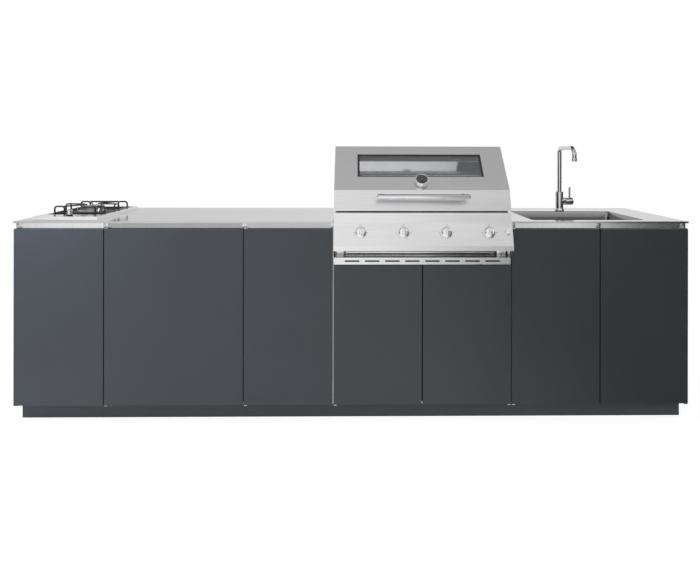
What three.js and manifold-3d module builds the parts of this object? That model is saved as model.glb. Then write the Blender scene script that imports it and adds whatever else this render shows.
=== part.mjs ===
// Outdoor kitchen island: five cabinets in a row that carry two stainless benches, a one-ring gas
// hob, a four-burner hooded grill and a sink with a mixer tap.
// Millimetres. +X is to the right and +Z up for someone who stands in front and looks along +Y.
// Y is zero at the door fronts until the last step, which moves the origin to the floor under
// the middle of the island.
import * as THREE from "three";
import { mergeVertices } from "three/addons/utils/BufferGeometryUtils.js";
import Module from "manifold-3d";

const wasm = await Module();
wasm.setup();

// Driving dimensions.

// Cabinet widths, left to right.
const hobModule = 400;
const wideModule = 620;
const storeModule = 400;
const grillModule = 800;
const sinkModule = 800;

// Benches and plinth.
const benchHeight = 905;
const benchDepth = 615;
const benchSheet = 1.5;
const benchEdge = 8;
const kickHeight = 86;
const kickSetBack = 66;
const kickEndInset = 5;
const kickSheet = 2;
const kickReturn = 15;
const kickFloorGap = 3;

// Doors and their pivots.
const doorThickness = 18;
const doorSheet = 1.2;
const doorLip = 14;
const doorGap = 5;
const gripHeight = 35;
const hingeSetIn = 8;
const hingeSetBack = 6;
const pivotRadius = 2.5;
const pivotBlockHeight = 20;
const pivotBlockDepth = 11;
const tabThickness = 2.5;
const tabClearance = 1.2;
const tabHalfWidth = 7;
const tabWall = 2.7;
const pinPastTab = 0.6;
const swingClearance = 1.5;

// Carcasses and outer panels.
const carcassSheet = 1.5;
const carcassJoint = 1;
const postWidth = 10;
const topReturn = 15;
const railOverlap = 6;
const floorRise = 5;
const floorLip = 11;
const rearPanelDepth = 12;
const endPanelDepth = 8;
const panelSheet = 1.2;

// Grill.
const grillWidth = 793;
const fireboxSheet = 1.5;
const hoodSheet = 2;
const ventTopDrop = 162;
const ventFace = 31;
const ventDoorGap = 3;
const ventSheet = 1.5;

// Clearances that serve the whole object.
const seatGap = 0.3;
const runGap = 0.3;
const overrun = 12;

// Facets round a full turn, and steps in a bend.
const roundSides = 24;
const rodSides = 12;
const wireSides = 8;
const bendSteps = 4;
const slotSteps = 1;
const mergeTolerance = 1e-4;

// Places that follow from them.
const islandWidth = hobModule + wideModule + storeModule + grillModule + sinkModule;
const hobModuleX = (hobModule - islandWidth) / 2;
const wideModuleX = hobModuleX + (hobModule + wideModule) / 2;
const storeModuleX = wideModuleX + (wideModule + storeModule) / 2;
const grillModuleX = storeModuleX + (storeModule + grillModule) / 2;
const sinkModuleX = grillModuleX + (grillModule + sinkModule) / 2;
const grillEdgeLeft = grillModuleX - grillModule / 2;
const grillEdgeRight = grillModuleX + grillModule / 2;

const doorSwing = Math.hypot(hingeSetIn, doorThickness - hingeSetBack);
const carcassFront = hingeSetBack + doorSwing + swingClearance;
const rearPanelBack = benchDepth - benchSheet - seatGap;
const rearPanelFront = rearPanelBack - rearPanelDepth;
const carcassBack = rearPanelFront - seatGap;
const endInset = benchSheet + seatGap + endPanelDepth + seatGap;

const carcassTop = benchHeight - benchSheet - seatGap;
const doorBottom = kickHeight;
const doorTop = benchHeight - gripHeight;
const carcassFloor = kickHeight + floorRise;
const lipBottom = carcassFloor + carcassSheet - floorLip;
const ventTop = benchHeight - ventTopDrop;
const ventBottom = ventTop - ventFace;
const grillDoorTop = ventBottom - ventDoorGap;

// Shapes.

const upward = new THREE.Vector3(0, 1, 0);

function solidFrom(geometry) {
  const bare = geometry.index ? geometry.toNonIndexed() : geometry.clone();
  bare.deleteAttribute("normal");
  bare.deleteAttribute("uv");
  const merged = mergeVertices(bare, mergeTolerance);
  return new wasm.Manifold(
    new wasm.Mesh({
      numProp: 3,
      vertProperties: merged.attributes.position.array,
      triVerts: new Uint32Array(merged.index.array),
    }),
  );
}

function joined(...solids) {
  return solids.flat(2).reduce((whole, next) => whole.add(next));
}

function cutBy(solid, ...cutters) {
  return cutters.flat(2).reduce((left, cutter) => left.subtract(cutter), solid);
}

// A box between two limits on each axis.
function slabShape([x0, x1], [y0, y1], [z0, z1]) {
  const box = new THREE.BoxGeometry(x1 - x0, y1 - y0, z1 - z0);
  return box.translate((x0 + x1) / 2, (y0 + y1) / 2, (z0 + z1) / 2);
}

function slab(xs, ys, zs) {
  return solidFrom(slabShape(xs, ys, zs));
}

// Both limits drawn in, or with a negative amount pushed out.
function drawnIn([low, high], amount) {
  return [low + amount, high - amount];
}

// Two limits in rising order.
function ordered(a, b) {
  return [Math.min(a, b), Math.max(a, b)];
}

// Limits at equal distances either side of a middle.
function about(middle, half) {
  return [middle - half, middle + half];
}

// A round rod between two points.
function rodShape(radius, from, to, sides = rodSides) {
  const start = new THREE.Vector3(...from);
  const end = new THREE.Vector3(...to);
  const along = end.clone().sub(start);
  const turn = new THREE.Quaternion().setFromUnitVectors(upward, along.clone().normalize());
  const middle = start.add(end).multiplyScalar(1 / 2);
  return new THREE.CylinderGeometry(radius, radius, along.length(), sides)
    .applyQuaternion(turn)
    .translate(middle.x, middle.y, middle.z);
}

function rod(radius, from, to, sides) {
  return solidFrom(rodShape(radius, from, to, sides));
}

// A turned shape about +Z from its outline of [radius, height] points, listed upwards.
function turnedShape(profile, sides = roundSides) {
  const outline = profile.map(([radius, height]) => new THREE.Vector2(radius, height));
  return new THREE.LatheGeometry(outline, sides).rotateX(Math.PI / 2);
}

function turned(profile, sides) {
  return solidFrom(turnedShape(profile, sides));
}

// A flat outline drawn out, then laid so that its own axes run along the ones given.
function drawnOut(shape, length, acrossAxis, upAxis) {
  const drawn = new THREE.ExtrudeGeometry(shape, {
    depth: length,
    bevelEnabled: false,
    curveSegments: rodSides / 2,
  });
  const [across, up] = [new THREE.Vector3(...acrossAxis), new THREE.Vector3(...upAxis)];
  return drawn.applyMatrix4(new THREE.Matrix4().makeBasis(across, up, across.clone().cross(up)));
}

function shapeOf(outline) {
  return new THREE.Shape(outline.map(([across, up]) => new THREE.Vector2(across, up)));
}

// An outline of [y, z] points drawn out along X.
function prism(outline, [x0, x1]) {
  const shape = Array.isArray(outline) ? shapeOf(outline) : outline;
  return solidFrom(drawnOut(shape, x1 - x0, [0, 1, 0], [0, 0, 1]).translate(x0, 0, 0));
}

// An outline of [x, z] points drawn out along Y.
function channel(outline, [y0, y1]) {
  return solidFrom(drawnOut(shapeOf(outline), y1 - y0, [1, 0, 0], [0, 0, 1]).translate(0, y1, 0));
}

// A flat plate of a given plan between two heights.
function plate(shape, [z0, z1]) {
  return solidFrom(drawnOut(shape, z1 - z0, [1, 0, 0], [0, 1, 0]).translate(0, 0, z0));
}

// The outline that runs inside a convex one, each side moved in by the wall. Points go
// anticlockwise with y to the right and z up.
function insideOutline(outline, wall) {
  const count = outline.length;
  const sides = outline.map(([y, z], i) => {
    const [nextY, nextZ] = outline[(i + 1) % count];
    const length = Math.hypot(nextY - y, nextZ - z);
    const [dy, dz] = [(nextY - y) / length, (nextZ - z) / length];
    return { y: y - dz * wall, z: z + dy * wall, dy, dz };
  });
  return sides.map((side, i) => {
    const before = sides[(i + count - 1) % count];
    const cross = before.dy * side.dz - before.dz * side.dy;
    const reach = ((side.y - before.y) * side.dz - (side.z - before.z) * side.dy) / cross;
    return [before.y + before.dy * reach, before.z + before.dz * reach];
  });
}

// A rectangle with round corners, centred, for extruding.
function roundedRect(width, depth, radius) {
  const [x, y] = [width / 2 - radius, depth / 2 - radius];
  const shape = new THREE.Shape();
  shape.absarc(x, y, radius, 0, Math.PI / 2);
  shape.absarc(-x, y, radius, Math.PI / 2, Math.PI);
  shape.absarc(-x, -y, radius, Math.PI, (3 * Math.PI) / 2);
  shape.absarc(x, -y, radius, (3 * Math.PI) / 2, 2 * Math.PI);
  return shape;
}

// A block of that plan drawn up through levels of [height, inset], bottom to top.
function leveledBlock(width, depth, radius, levels) {
  const rings = levels.map(([z, inset]) =>
    roundedRect(width - 2 * inset, depth - 2 * inset, radius)
      .extractPoints(bendSteps)
      .shape.map(({ x, y }) => [x, y, z]),
  );
  const count = rings[0].length;
  const flat = rings[0].map(([x, y]) => new THREE.Vector2(x, y));
  const cap = THREE.ShapeUtils.triangulateShape(flat, []);
  const top = (rings.length - 1) * count;
  const faces = cap.flatMap(([a, b, c]) => [c, b, a, top + a, top + b, top + c]);
  for (let level = 0; level < rings.length - 1; level += 1) {
    for (let i = 0; i < count; i += 1) {
      const [a, b] = [level * count + i, level * count + ((i + 1) % count)];
      faces.push(a, b, b + count, a, b + count, a + count);
    }
  }
  const geometry = new THREE.BufferGeometry();
  geometry.setAttribute("position", new THREE.Float32BufferAttribute(rings.flat(2), 3));
  return solidFrom(geometry.setIndex(faces));
}

// A route of straight runs whose corners are rounded, for bent rods and pipes.
class BentRoute extends THREE.Curve {
  constructor(corners, radius) {
    super();
    const places = corners.map((corner) => new THREE.Vector3(...corner));
    this.stops = [places[0]];
    for (let i = 1; i < places.length - 1; i += 1) {
      const back = places[i - 1].clone().sub(places[i]).normalize();
      const ahead = places[i + 1].clone().sub(places[i]).normalize();
      const half = back.angleTo(ahead) / 2;
      const turn = Array.isArray(radius) ? radius[i - 1] : radius;
      const bisector = back.clone().add(ahead).normalize();
      const centre = places[i].clone().addScaledVector(bisector, turn / Math.sin(half));
      const enter = places[i].clone().addScaledVector(back, turn / Math.tan(half)).sub(centre);
      const axis = back.clone().cross(ahead).normalize();
      for (let step = 0; step <= bendSteps; step += 1) {
        const angle = (-(Math.PI - 2 * half) * step) / bendSteps;
        this.stops.push(enter.clone().applyAxisAngle(axis, angle).add(centre));
      }
    }
    this.stops.push(places[places.length - 1]);
  }

  getPointAt(share) {
    return this.stops[Math.round(share * (this.stops.length - 1))].clone();
  }

  getTangentAt(share) {
    const i = Math.round(share * (this.stops.length - 1));
    const from = this.stops[Math.max(i - 1, 0)];
    const to = this.stops[Math.min(i + 1, this.stops.length - 1)];
    return to.clone().sub(from).normalize();
  }
}

function bentRodShape(radius, corners, bendRadius, sides = wireSides) {
  const route = new BentRoute(corners, bendRadius);
  const section = new THREE.Shape();
  section.absarc(0, 0, radius, 0, 2 * Math.PI);
  return new THREE.ExtrudeGeometry(section, {
    steps: route.stops.length - 1,
    curveSegments: sides,
    extrudePath: route,
  });
}

function bentRod(radius, corners, bendRadius, sides) {
  return solidFrom(bentRodShape(radius, corners, bendRadius, sides));
}

// Finishes.
const finishes = {
  charcoal: { color: 0x4b4f54, roughness: 0.55, metalness: 0.1 },
  benchSteel: { color: 0xcfd0d1, roughness: 0.25, metalness: 0.9 },
  steel: { color: 0xbfc0c2, roughness: 0.4, metalness: 0.9 },
  hoodSteel: { color: 0xb4b5b6, roughness: 0.4, metalness: 0.9 },
  chrome: { color: 0xe3e3e3, roughness: 0.08, metalness: 1 },
  castIron: { color: 0x26262a, roughness: 0.8, metalness: 0.4 },
  enamel: { color: 0x131315, roughness: 0.25, metalness: 0 },
  glass: { color: 0x2b2d30, roughness: 0.05, metalness: 0 },
  brass: { color: 0xb59a52, roughness: 0.35, metalness: 0.9 },
  plastic: { color: 0xdedfe0, roughness: 0.5, metalness: 0 },
};

function piece(name, solid, finish) {
  const { numProp, vertProperties, triVerts } = solid.getMesh();
  const shared = new THREE.BufferGeometry();
  shared.setAttribute("position", new THREE.BufferAttribute(vertProperties, numProp));
  shared.setIndex(new THREE.BufferAttribute(triVerts, 1));
  const geometry = shared.toNonIndexed();
  geometry.computeVertexNormals();
  const mesh = new THREE.Mesh(geometry, new THREE.MeshStandardMaterial(finishes[finish]));
  mesh.name = name;
  return mesh;
}

function groupAt(parent, x, y, z) {
  const group = new THREE.Group();
  group.position.set(x, y, z);
  parent.add(group);
  return group;
}

const island = new THREE.Group();

// Cabinet carcasses: folded sheet boxes with posts at the front edges, a top rail behind the
// finger recess, returns under the bench, and tabs that hold the door pivots.

const tabBottomTop = doorBottom - tabClearance;
const tabTopBottom = doorTop + tabClearance;

// A tab's plan: it stands out from the sheet at the front of the cabinet, and is let into it
// only as far as the cabinet reaches.
function pivotTab(x, bottom, [left, right]) {
  const front = hingeSetBack - pivotRadius - tabWall;
  const [from, to] = about(x, tabHalfWidth);
  const within = carcassSheet / 2;
  const root = [Math.max(from, left + within), Math.min(to, right - within)];
  const plan = shapeOf([
    [from, front],
    [to, front],
    [to, carcassFront],
    [root[1], carcassFront],
    [root[1], carcassFront + within],
    [root[0], carcassFront + within],
    [root[0], carcassFront],
    [from, carcassFront],
  ]);
  const hole = new THREE.Path();
  hole.absarc(x, hingeSetBack, pivotRadius + runGap, 0, 2 * Math.PI);
  plan.holes.push(hole);
  return plate(plan, [bottom, bottom + tabThickness]);
}

function carcassSolid(width, leftInset, rightInset, pivots, open = {}) {
  const { frontRail = true, postTop = carcassTop, sideReturn = topReturn } = open;
  const xs = [leftInset - width / 2, width / 2 - rightInset];
  const ys = [carcassFront, carcassBack];
  const innerXs = drawnIn(xs, carcassSheet);
  const floorTop = carcassFloor + carcassSheet;
  const frontYs = [carcassFront - overrun, carcassFront + carcassSheet + overrun];
  const railBottom = frontRail ? doorTop - railOverlap : postTop;
  const topFront = frontRail ? carcassFront + topReturn : carcassFront - overrun;
  const openings = [
    slab(
      drawnIn(xs, -overrun),
      [carcassFront + carcassSheet, carcassBack + overrun],
      [lipBottom - overrun, carcassFloor],
    ),
    slab(innerXs, drawnIn(ys, carcassSheet), [floorTop, carcassTop - carcassSheet]),
    slab(drawnIn(xs, postWidth), frontYs, [floorTop, railBottom]),
    slab(
      drawnIn(xs, sideReturn),
      [topFront, carcassBack - topReturn],
      [carcassTop - carcassSheet - overrun, carcassTop + overrun],
    ),
  ];
  if (!frontRail) openings.push(slab(innerXs, frontYs, [postTop, carcassTop - carcassSheet]));
  const box = cutBy(slab(xs, ys, [lipBottom, carcassTop]), openings);
  const tabs = pivots.map((x) => pivotTab(x, tabBottomTop - tabThickness, xs));
  if (frontRail) tabs.push(pivots.map((x) => pivotTab(x, tabTopBottom, xs)));
  return joined(box, tabs.flat());
}

// Distance of a pivot axis from the edge of its cabinet.
const pivotInset = doorGap / 2 + hingeSetIn;
const jointHalf = carcassJoint / 2;
const shelfPegRadius = 3;
const shelfPegLength = 9;
const shelfPegInset = 60;
const shelfRise = 390;
const shelfSheet = 1.2;
const shelfLip = 22;
const shelfSideGap = 1.5;

const hobCabinet = groupAt(island, hobModuleX, 0, 0);
const wideCabinet = groupAt(island, wideModuleX, 0, 0);
const storeCabinet = groupAt(island, storeModuleX, 0, 0);
const grillCabinet = groupAt(island, grillModuleX, 0, 0);
const sinkCabinet = groupAt(island, sinkModuleX, 0, 0);

const hobPivots = [pivotInset - hobModule / 2];
hobCabinet.add(
  piece("carcass_hob", carcassSolid(hobModule, endInset, jointHalf, hobPivots), "steel"),
);

const widePivots = [pivotInset - wideModule / 2];
wideCabinet.add(
  piece("carcass_wide", carcassSolid(wideModule, jointHalf, jointHalf, widePivots), "steel"),
);

const storePivots = [pivotInset - storeModule / 2];
const shelfZ = carcassFloor + shelfRise;
const storeInner = storeModule / 2 - jointHalf - carcassSheet;
const shelfPegs = [-1, 1].flatMap((side) =>
  [carcassFront + shelfPegInset, carcassBack - shelfPegInset].map((y) => {
    const z = shelfZ - seatGap - shelfPegRadius;
    const outer = [side * (storeInner + carcassSheet / 2), y, z];
    return rod(shelfPegRadius, outer, [side * (storeInner - shelfPegLength), y, z], wireSides);
  }),
);
storeCabinet.add(
  piece(
    "carcass_store",
    joined(carcassSolid(storeModule, jointHalf, jointHalf, storePivots), shelfPegs),
    "steel",
  ),
);

// Shelf: a sheet with a turned-down front lip that lies on the four pegs.
const shelfXs = about(0, storeInner - shelfSideGap);
const shelfYs = [
  carcassFront + shelfPegInset - shelfLip,
  carcassBack - carcassSheet - shelfSideGap,
];
storeCabinet.add(
  piece(
    "shelf_store",
    cutBy(
      slab(shelfXs, shelfYs, [shelfZ - shelfLip, shelfZ + shelfSheet]),
      slab(
        drawnIn(shelfXs, -overrun),
        [shelfYs[0] + shelfSheet, shelfYs[1] + overrun],
        [shelfZ - shelfLip - overrun, shelfZ],
      ),
    ),
    "steel",
  ),
);

const grillPivots = [pivotInset - grillModule / 2, grillModule / 2 - pivotInset];
const grillSideReturn = 25;
const grillCarcass = carcassSolid(grillModule, jointHalf, jointHalf, grillPivots, {
  frontRail: false,
  postTop: ventTop - ventSheet - seatGap,
  sideReturn: grillSideReturn,
});
grillCabinet.add(piece("carcass_grill", grillCarcass, "steel"));

const sinkPivots = [pivotInset - sinkModule / 2, sinkModule / 2 - pivotInset];
sinkCabinet.add(
  piece("carcass_sink", carcassSolid(sinkModule, jointHalf, endInset, sinkPivots), "steel"),
);

// End and rear panels: shallow powder-coated pans fixed to the carcasses.

const panelEnd = islandWidth / 2 - benchSheet - seatGap;

function endPanel(side) {
  const outer = side * panelEnd;
  const inner = outer - side * endPanelDepth;
  const ys = [carcassFront + seatGap, carcassBack];
  const zs = [carcassFloor, carcassTop];
  const hollowXs = ordered(outer - side * panelSheet, inner - side * overrun);
  const hollow = slab(hollowXs, drawnIn(ys, panelSheet), drawnIn(zs, panelSheet));
  return cutBy(slab(ordered(outer, inner), ys, zs), hollow);
}

island.add(piece("end_panel_left", endPanel(-1), "charcoal"));
island.add(piece("end_panel_right", endPanel(1), "charcoal"));

const rearPanelJoint = 3;

function rearPanel(xs) {
  const ys = [rearPanelFront, rearPanelBack];
  const zs = [carcassFloor, carcassTop];
  const hollowYs = [rearPanelFront - overrun, rearPanelBack - panelSheet];
  return cutBy(slab(xs, ys, zs), slab(drawnIn(xs, panelSheet), hollowYs, drawnIn(zs, panelSheet)));
}

const rearLeftXs = [-panelEnd, grillEdgeLeft - rearPanelJoint / 2];
const rearRightXs = [grillEdgeLeft + rearPanelJoint / 2, panelEnd];
island.add(piece("rear_panel_left", rearPanel(rearLeftXs), "charcoal"));
island.add(piece("rear_panel_right", rearPanel(rearRightXs), "charcoal"));

// Plinth: four kickboards, each a sheet with its top edge turned in, clipped to the base rails.

const kickEnd = islandWidth / 2 - kickEndInset;
const kickBack = benchDepth - kickEndInset;
const kickZs = [kickFloorGap, carcassFloor - seatGap];
const kickUnder = [kickZs[0] - overrun, kickZs[1] - kickSheet];

function kickLong([front, back], hollow) {
  const xs = about(0, kickEnd);
  return cutBy(slab(xs, [front, back], kickZs), slab(drawnIn(xs, -overrun), hollow, kickUnder));
}

// A side board's folded edge stops short of the long boards' folds.
function kickShort(side) {
  const outer = side * kickEnd;
  const xs = ordered(outer, outer - side * kickReturn);
  const hollow = ordered(outer - side * kickSheet, outer - side * (kickReturn + overrun));
  const ys = [kickSetBack + kickSheet + seatGap, kickBack - kickSheet - seatGap];
  const notch = [kickUnder[1] - seatGap, kickZs[1] + overrun];
  const fold = kickReturn - kickSheet;
  return cutBy(
    slab(xs, ys, kickZs),
    slab(hollow, drawnIn(ys, -overrun), kickUnder),
    slab(drawnIn(xs, -overrun), [ys[0] - overrun, ys[0] + fold], notch),
    slab(drawnIn(xs, -overrun), [ys[1] - fold, ys[1] + overrun], notch),
  );
}

const kickFrontYs = [kickSetBack, kickSetBack + kickReturn];
const kickRearYs = [kickBack - kickReturn, kickBack];
const kickFrontHollow = [kickSetBack + kickSheet, kickFrontYs[1] + overrun];
const kickRearHollow = [kickRearYs[0] - overrun, kickBack - kickSheet];
island.add(piece("kickboard_front", kickLong(kickFrontYs, kickFrontHollow), "charcoal"));
island.add(piece("kickboard_rear", kickLong(kickRearYs, kickRearHollow), "charcoal"));
island.add(piece("kickboard_left", kickShort(-1), "charcoal"));
island.add(piece("kickboard_right", kickShort(1), "charcoal"));

// Base rails: hollow bars under the cabinet floors, each on a row of screwed levelling feet.

const railHeight = 30;
const railDepth = 40;
const railSheet = 2;
const railFrontY = 120;
const railRearInset = 110;
const railEndInset = 25;
const footRadius = 22;
const footHeight = 9;
const footScrewRadius = 6;
const footInset = 70;

function footRail(middleY) {
  const xs = about(0, islandWidth / 2 - railEndInset);
  const zs = [carcassFloor - seatGap - railHeight, carcassFloor - seatGap];
  const ys = about(middleY, railDepth / 2);
  const bore = slab(drawnIn(xs, -overrun), drawnIn(ys, railSheet), drawnIn(zs, railSheet));
  const bar = cutBy(slab(xs, ys, zs), bore);
  const feet = [
    footInset - islandWidth / 2,
    hobModuleX + hobModule / 2,
    wideModuleX + wideModule / 2,
    grillEdgeLeft,
    grillEdgeRight,
    islandWidth / 2 - footInset,
  ].map((x) =>
    turnedShape(
      [
        [0, 0],
        [footRadius, 0],
        [footRadius, footHeight / 2],
        [footScrewRadius, footHeight],
        [footScrewRadius, zs[0] + railSheet / 2],
        [0, zs[0] + railSheet / 2],
      ],
      rodSides,
    ).translate(x, middleY, 0),
  );
  return joined(bar, feet.map(solidFrom));
}

island.add(piece("foot_rail_front", footRail(railFrontY), "steel"));
island.add(piece("foot_rail_rear", footRail(benchDepth - railRearInset), "steel"));

// Doors: folded pans, open at the back, with a pivot pin at the top and bottom of one edge.
// A door is built about its pivot axis; side is 1 where it reaches to the right of the axis.

function doorSolid(width, height, side, pinTop) {
  const reach = [-hingeSetIn, width - hingeSetIn];
  const xs = side > 0 ? reach : [-reach[1], -reach[0]];
  const ys = [-hingeSetBack, doorThickness - hingeSetBack];
  const zs = [0, height];
  const hollowYs = [ys[0] + doorSheet, ys[1] - doorSheet];
  const mouthYs = [ys[0] + doorSheet, ys[1] + overrun];
  const hollow = slab(drawnIn(xs, doorSheet), hollowYs, drawnIn(zs, doorSheet));
  const mouth = slab(drawnIn(xs, doorLip), mouthYs, drawnIn(zs, doorLip));
  const within = doorSheet / 2;
  const blockXs = about(0, hingeSetIn - within);
  const blockYs = [within - hingeSetBack, pivotBlockDepth - hingeSetBack];
  const pinLow = -tabClearance - tabThickness - pinPastTab;
  return joined(
    cutBy(slab(xs, ys, zs), hollow, mouth),
    slab(blockXs, blockYs, [within, pivotBlockHeight]),
    slab(blockXs, blockYs, [height - pivotBlockHeight, height - within]),
    rod(pivotRadius, [0, 0, pinLow], [0, 0, pivotBlockHeight / 2]),
    rod(pivotRadius, [0, 0, height - pivotBlockHeight / 2], [0, 0, height + pinTop]),
  );
}

function addDoor(cabinet, name, pivotX, width, side, top = doorTop) {
  const cabinetPin = tabClearance + tabThickness + pinPastTab;
  const ventPin = ventDoorGap + ventSheet + pinPastTab;
  const pinTop = top === grillDoorTop ? ventPin : cabinetPin;
  const door = piece(name, doorSolid(width, top - doorBottom, side, pinTop), "charcoal");
  door.position.set(pivotX, hingeSetBack, doorBottom);
  cabinet.add(door);
}

addDoor(hobCabinet, "door_hob", hobPivots[0], hobModule - doorGap, 1);
addDoor(wideCabinet, "door_wide", widePivots[0], wideModule - doorGap, 1);
addDoor(storeCabinet, "door_store", storePivots[0], storeModule - doorGap, 1);
const grillDoorWidth = grillModule / 2 - doorGap;
addDoor(grillCabinet, "door_grill_left", grillPivots[0], grillDoorWidth, 1, grillDoorTop);
addDoor(grillCabinet, "door_grill_right", grillPivots[1], grillDoorWidth, -1, grillDoorTop);
const sinkDoorWidth = sinkModule / 2 - doorGap;
addDoor(sinkCabinet, "door_sink_left", sinkPivots[0], sinkDoorWidth, 1);
addDoor(sinkCabinet, "door_sink_right", sinkPivots[1], sinkDoorWidth, -1);

// Vent strip: a slotted channel flush with the doors, whose lower return takes the upper pins of
// the grill doors. Its top flange lies on the cabinet's posts.

const ventWidth = 790;
const ventFlange = 79;
const ventReturn = 14;
const ventSlots = 8;
const ventSlotWidth = 67;
const ventSlotHeight = 7;
const ventSlotPitch = 90;

function ventStrip() {
  const xs = about(0, ventWidth / 2);
  const strip = prism(
    [
      [0, ventBottom],
      [ventReturn, ventBottom],
      [ventReturn, ventBottom + ventSheet],
      [ventSheet, ventBottom + ventSheet],
      [ventSheet, ventTop - ventSheet],
      [ventFlange, ventTop - ventSheet],
      [ventFlange, ventTop],
      [0, ventTop],
    ],
    xs,
  );
  const slot = new THREE.ExtrudeGeometry(
    roundedRect(ventSlotWidth, ventSlotHeight, ventSlotHeight / 2),
    { depth: ventSheet + 2 * overrun, bevelEnabled: false, curveSegments: slotSteps },
  ).rotateX(Math.PI / 2);
  const slots = Array.from({ length: ventSlots }, (_, i) => {
    const x = (i - (ventSlots - 1) / 2) * ventSlotPitch;
    const depth = ventSheet + overrun;
    return solidFrom(slot.clone().translate(x, depth, (ventTop + ventBottom) / 2));
  });
  const pinHoles = grillPivots.map((x) =>
    rod(
      pivotRadius + runGap,
      [x, hingeSetBack, ventBottom - overrun],
      [x, hingeSetBack, ventBottom + overrun],
    ),
  );
  return cutBy(strip, slots, pinHoles);
}

grillCabinet.add(piece("vent_strip", ventStrip(), "steel"));

// Gas hob: a raised tray let into the left bench, with one ring burner and a wire pan support.
// Its own frame has x zero at its middle, y zero at its front edge and z zero at the bench top.

const hobWidth = 290;
const hobDepth = 490;
const hobRise = 18;
const hobFrontY = 25;
const hobShift = 14;
const hobSheet = 1.5;
const hobTopSheet = 4.5;
const hobBoxInset = 16;
const hobBoxDrop = 55;
const hobDishInset = 20;
const hobDishFront = 88;
const hobDishDepth = 3;
const hobKnobY = 46;
const hobKnobRadius = 12.5;
const hobKnobHeight = 26;
const hobKnobSkirt = 16;
const hobKnobSkirtHeight = 4;
const hobStemRadius = 3.5;
const hobKnobBoreDepth = 14;
const hobKnobLift = 1;
const burnerY = 278;
const burnerHoleRadius = 46;

const hobGroup = groupAt(hobCabinet, hobShift, hobFrontY, benchHeight);
const hobBoxXs = about(0, hobWidth / 2 - hobBoxInset);
const hobBoxYs = [hobBoxInset, hobDepth - hobBoxInset];

function hobTray() {
  const rimXs = about(0, hobWidth / 2);
  const rimYs = [0, hobDepth];
  const rimZs = [seatGap, hobRise];
  const boxZs = [-hobBoxDrop, hobRise / 2];
  const dishXs = drawnIn(rimXs, hobDishInset);
  const dishYs = [hobDishFront, hobDepth - hobDishInset];
  const hollowTop = hobRise - hobTopSheet;
  const outside = joined(slab(rimXs, rimYs, rimZs), slab(hobBoxXs, hobBoxYs, boxZs));
  const boxHollowZs = [hobSheet - hobBoxDrop, hollowTop - hobSheet];
  return cutBy(
    outside,
    slab(drawnIn(rimXs, hobSheet), drawnIn(rimYs, hobSheet), [seatGap + hobSheet, hollowTop]),
    slab(drawnIn(hobBoxXs, hobSheet), drawnIn(hobBoxYs, hobSheet), boxHollowZs),
    slab(dishXs, dishYs, [hobRise - hobDishDepth, hobRise + overrun]),
    rod(burnerHoleRadius, [0, burnerY, 0], [0, burnerY, hobRise + overrun], roundSides),
    rod(hobStemRadius + runGap, [0, hobKnobY, 0], [0, hobKnobY, hobRise + overrun]),
  );
}

hobGroup.add(piece("hob_tray", hobTray(), "enamel"));

// Valve: hangs from the underside of the tray's top, and its stem carries the knob.
const hobValveRadius = 11;
const hobValveDrop = 34;
const hobValveTop = hobRise - hobTopSheet - seatGap;
const hobStemTop = hobRise + hobKnobLift + hobKnobBoreDepth - seatGap;
const hobValve = piece(
  "hob_valve",
  joined(
    rod(hobValveRadius, [0, 0, hobValveTop - hobValveDrop], [0, 0, hobValveTop], roundSides),
    rod(hobStemRadius, [0, 0, hobValveTop - hobValveDrop / 2], [0, 0, hobStemTop]),
  ),
  "brass",
);
hobValve.position.set(0, hobKnobY, 0);
hobGroup.add(hobValve);

const hobKnob = piece(
  "hob_knob",
  cutBy(
    turned([
      [0, 0],
      [hobKnobSkirt, 0],
      [hobKnobSkirt, hobKnobSkirtHeight],
      [hobKnobRadius, hobKnobSkirtHeight + hobKnobLift],
      [hobKnobRadius, hobKnobHeight - hobKnobLift],
      [hobKnobRadius - hobKnobLift, hobKnobHeight],
      [0, hobKnobHeight],
    ]),
    rod(hobStemRadius + runGap, [0, 0, -overrun], [0, 0, hobKnobBoreDepth]),
  ),
  "chrome",
);
hobKnob.position.set(0, hobKnobY, hobRise + hobKnobLift);
hobGroup.add(hobKnob);

// Burner: a cup that drops through the hole in the tray with its flange on the dish, a slotted
// crown ring, and a loose enamelled cap.
const burnerFlangeRadius = 66;
const burnerFlangeHeight = 4;
const burnerCupRadius = 45;
const burnerCupDrop = 38;
const burnerCrownRadius = 56;
const burnerCrownHeight = 17;
const burnerCrownWall = 9;
const burnerPorts = 16;
const burnerPortWidth = 3;
const burnerPortHeight = 6;
const burnerCapRadius = 54;
const burnerCapHeight = 7;
const burnerCapLip = 2.5;
const burnerBase = hobRise - hobDishDepth + seatGap;
const crownTop = burnerFlangeHeight + burnerCrownHeight;

function burnerBody() {
  const body = turned([
    [0, -burnerCupDrop],
    [burnerCupRadius, -burnerCupDrop],
    [burnerCupRadius, 0],
    [burnerFlangeRadius, 0],
    [burnerFlangeRadius, burnerFlangeHeight],
    [burnerCrownRadius, burnerFlangeHeight + burnerCapLip],
    [burnerCrownRadius, crownTop],
    [burnerCrownRadius - burnerCrownWall, crownTop],
    [burnerCrownRadius - burnerCrownWall, burnerCapLip - burnerCupDrop],
    [0, burnerCapLip - burnerCupDrop],
  ]);
  const ports = Array.from({ length: burnerPorts }, (_, i) =>
    solidFrom(
      slabShape(
        [burnerCrownRadius - burnerCrownWall - burnerPortWidth, burnerCrownRadius + burnerPortWidth],
        about(0, burnerPortWidth / 2),
        [crownTop - burnerPortHeight, crownTop + overrun],
      ).rotateZ((2 * Math.PI * i) / burnerPorts),
    ),
  );
  return cutBy(body, ports);
}

const hobBurner = piece("hob_burner", burnerBody(), "steel");
hobBurner.position.set(0, burnerY, burnerBase);
hobGroup.add(hobBurner);

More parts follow.
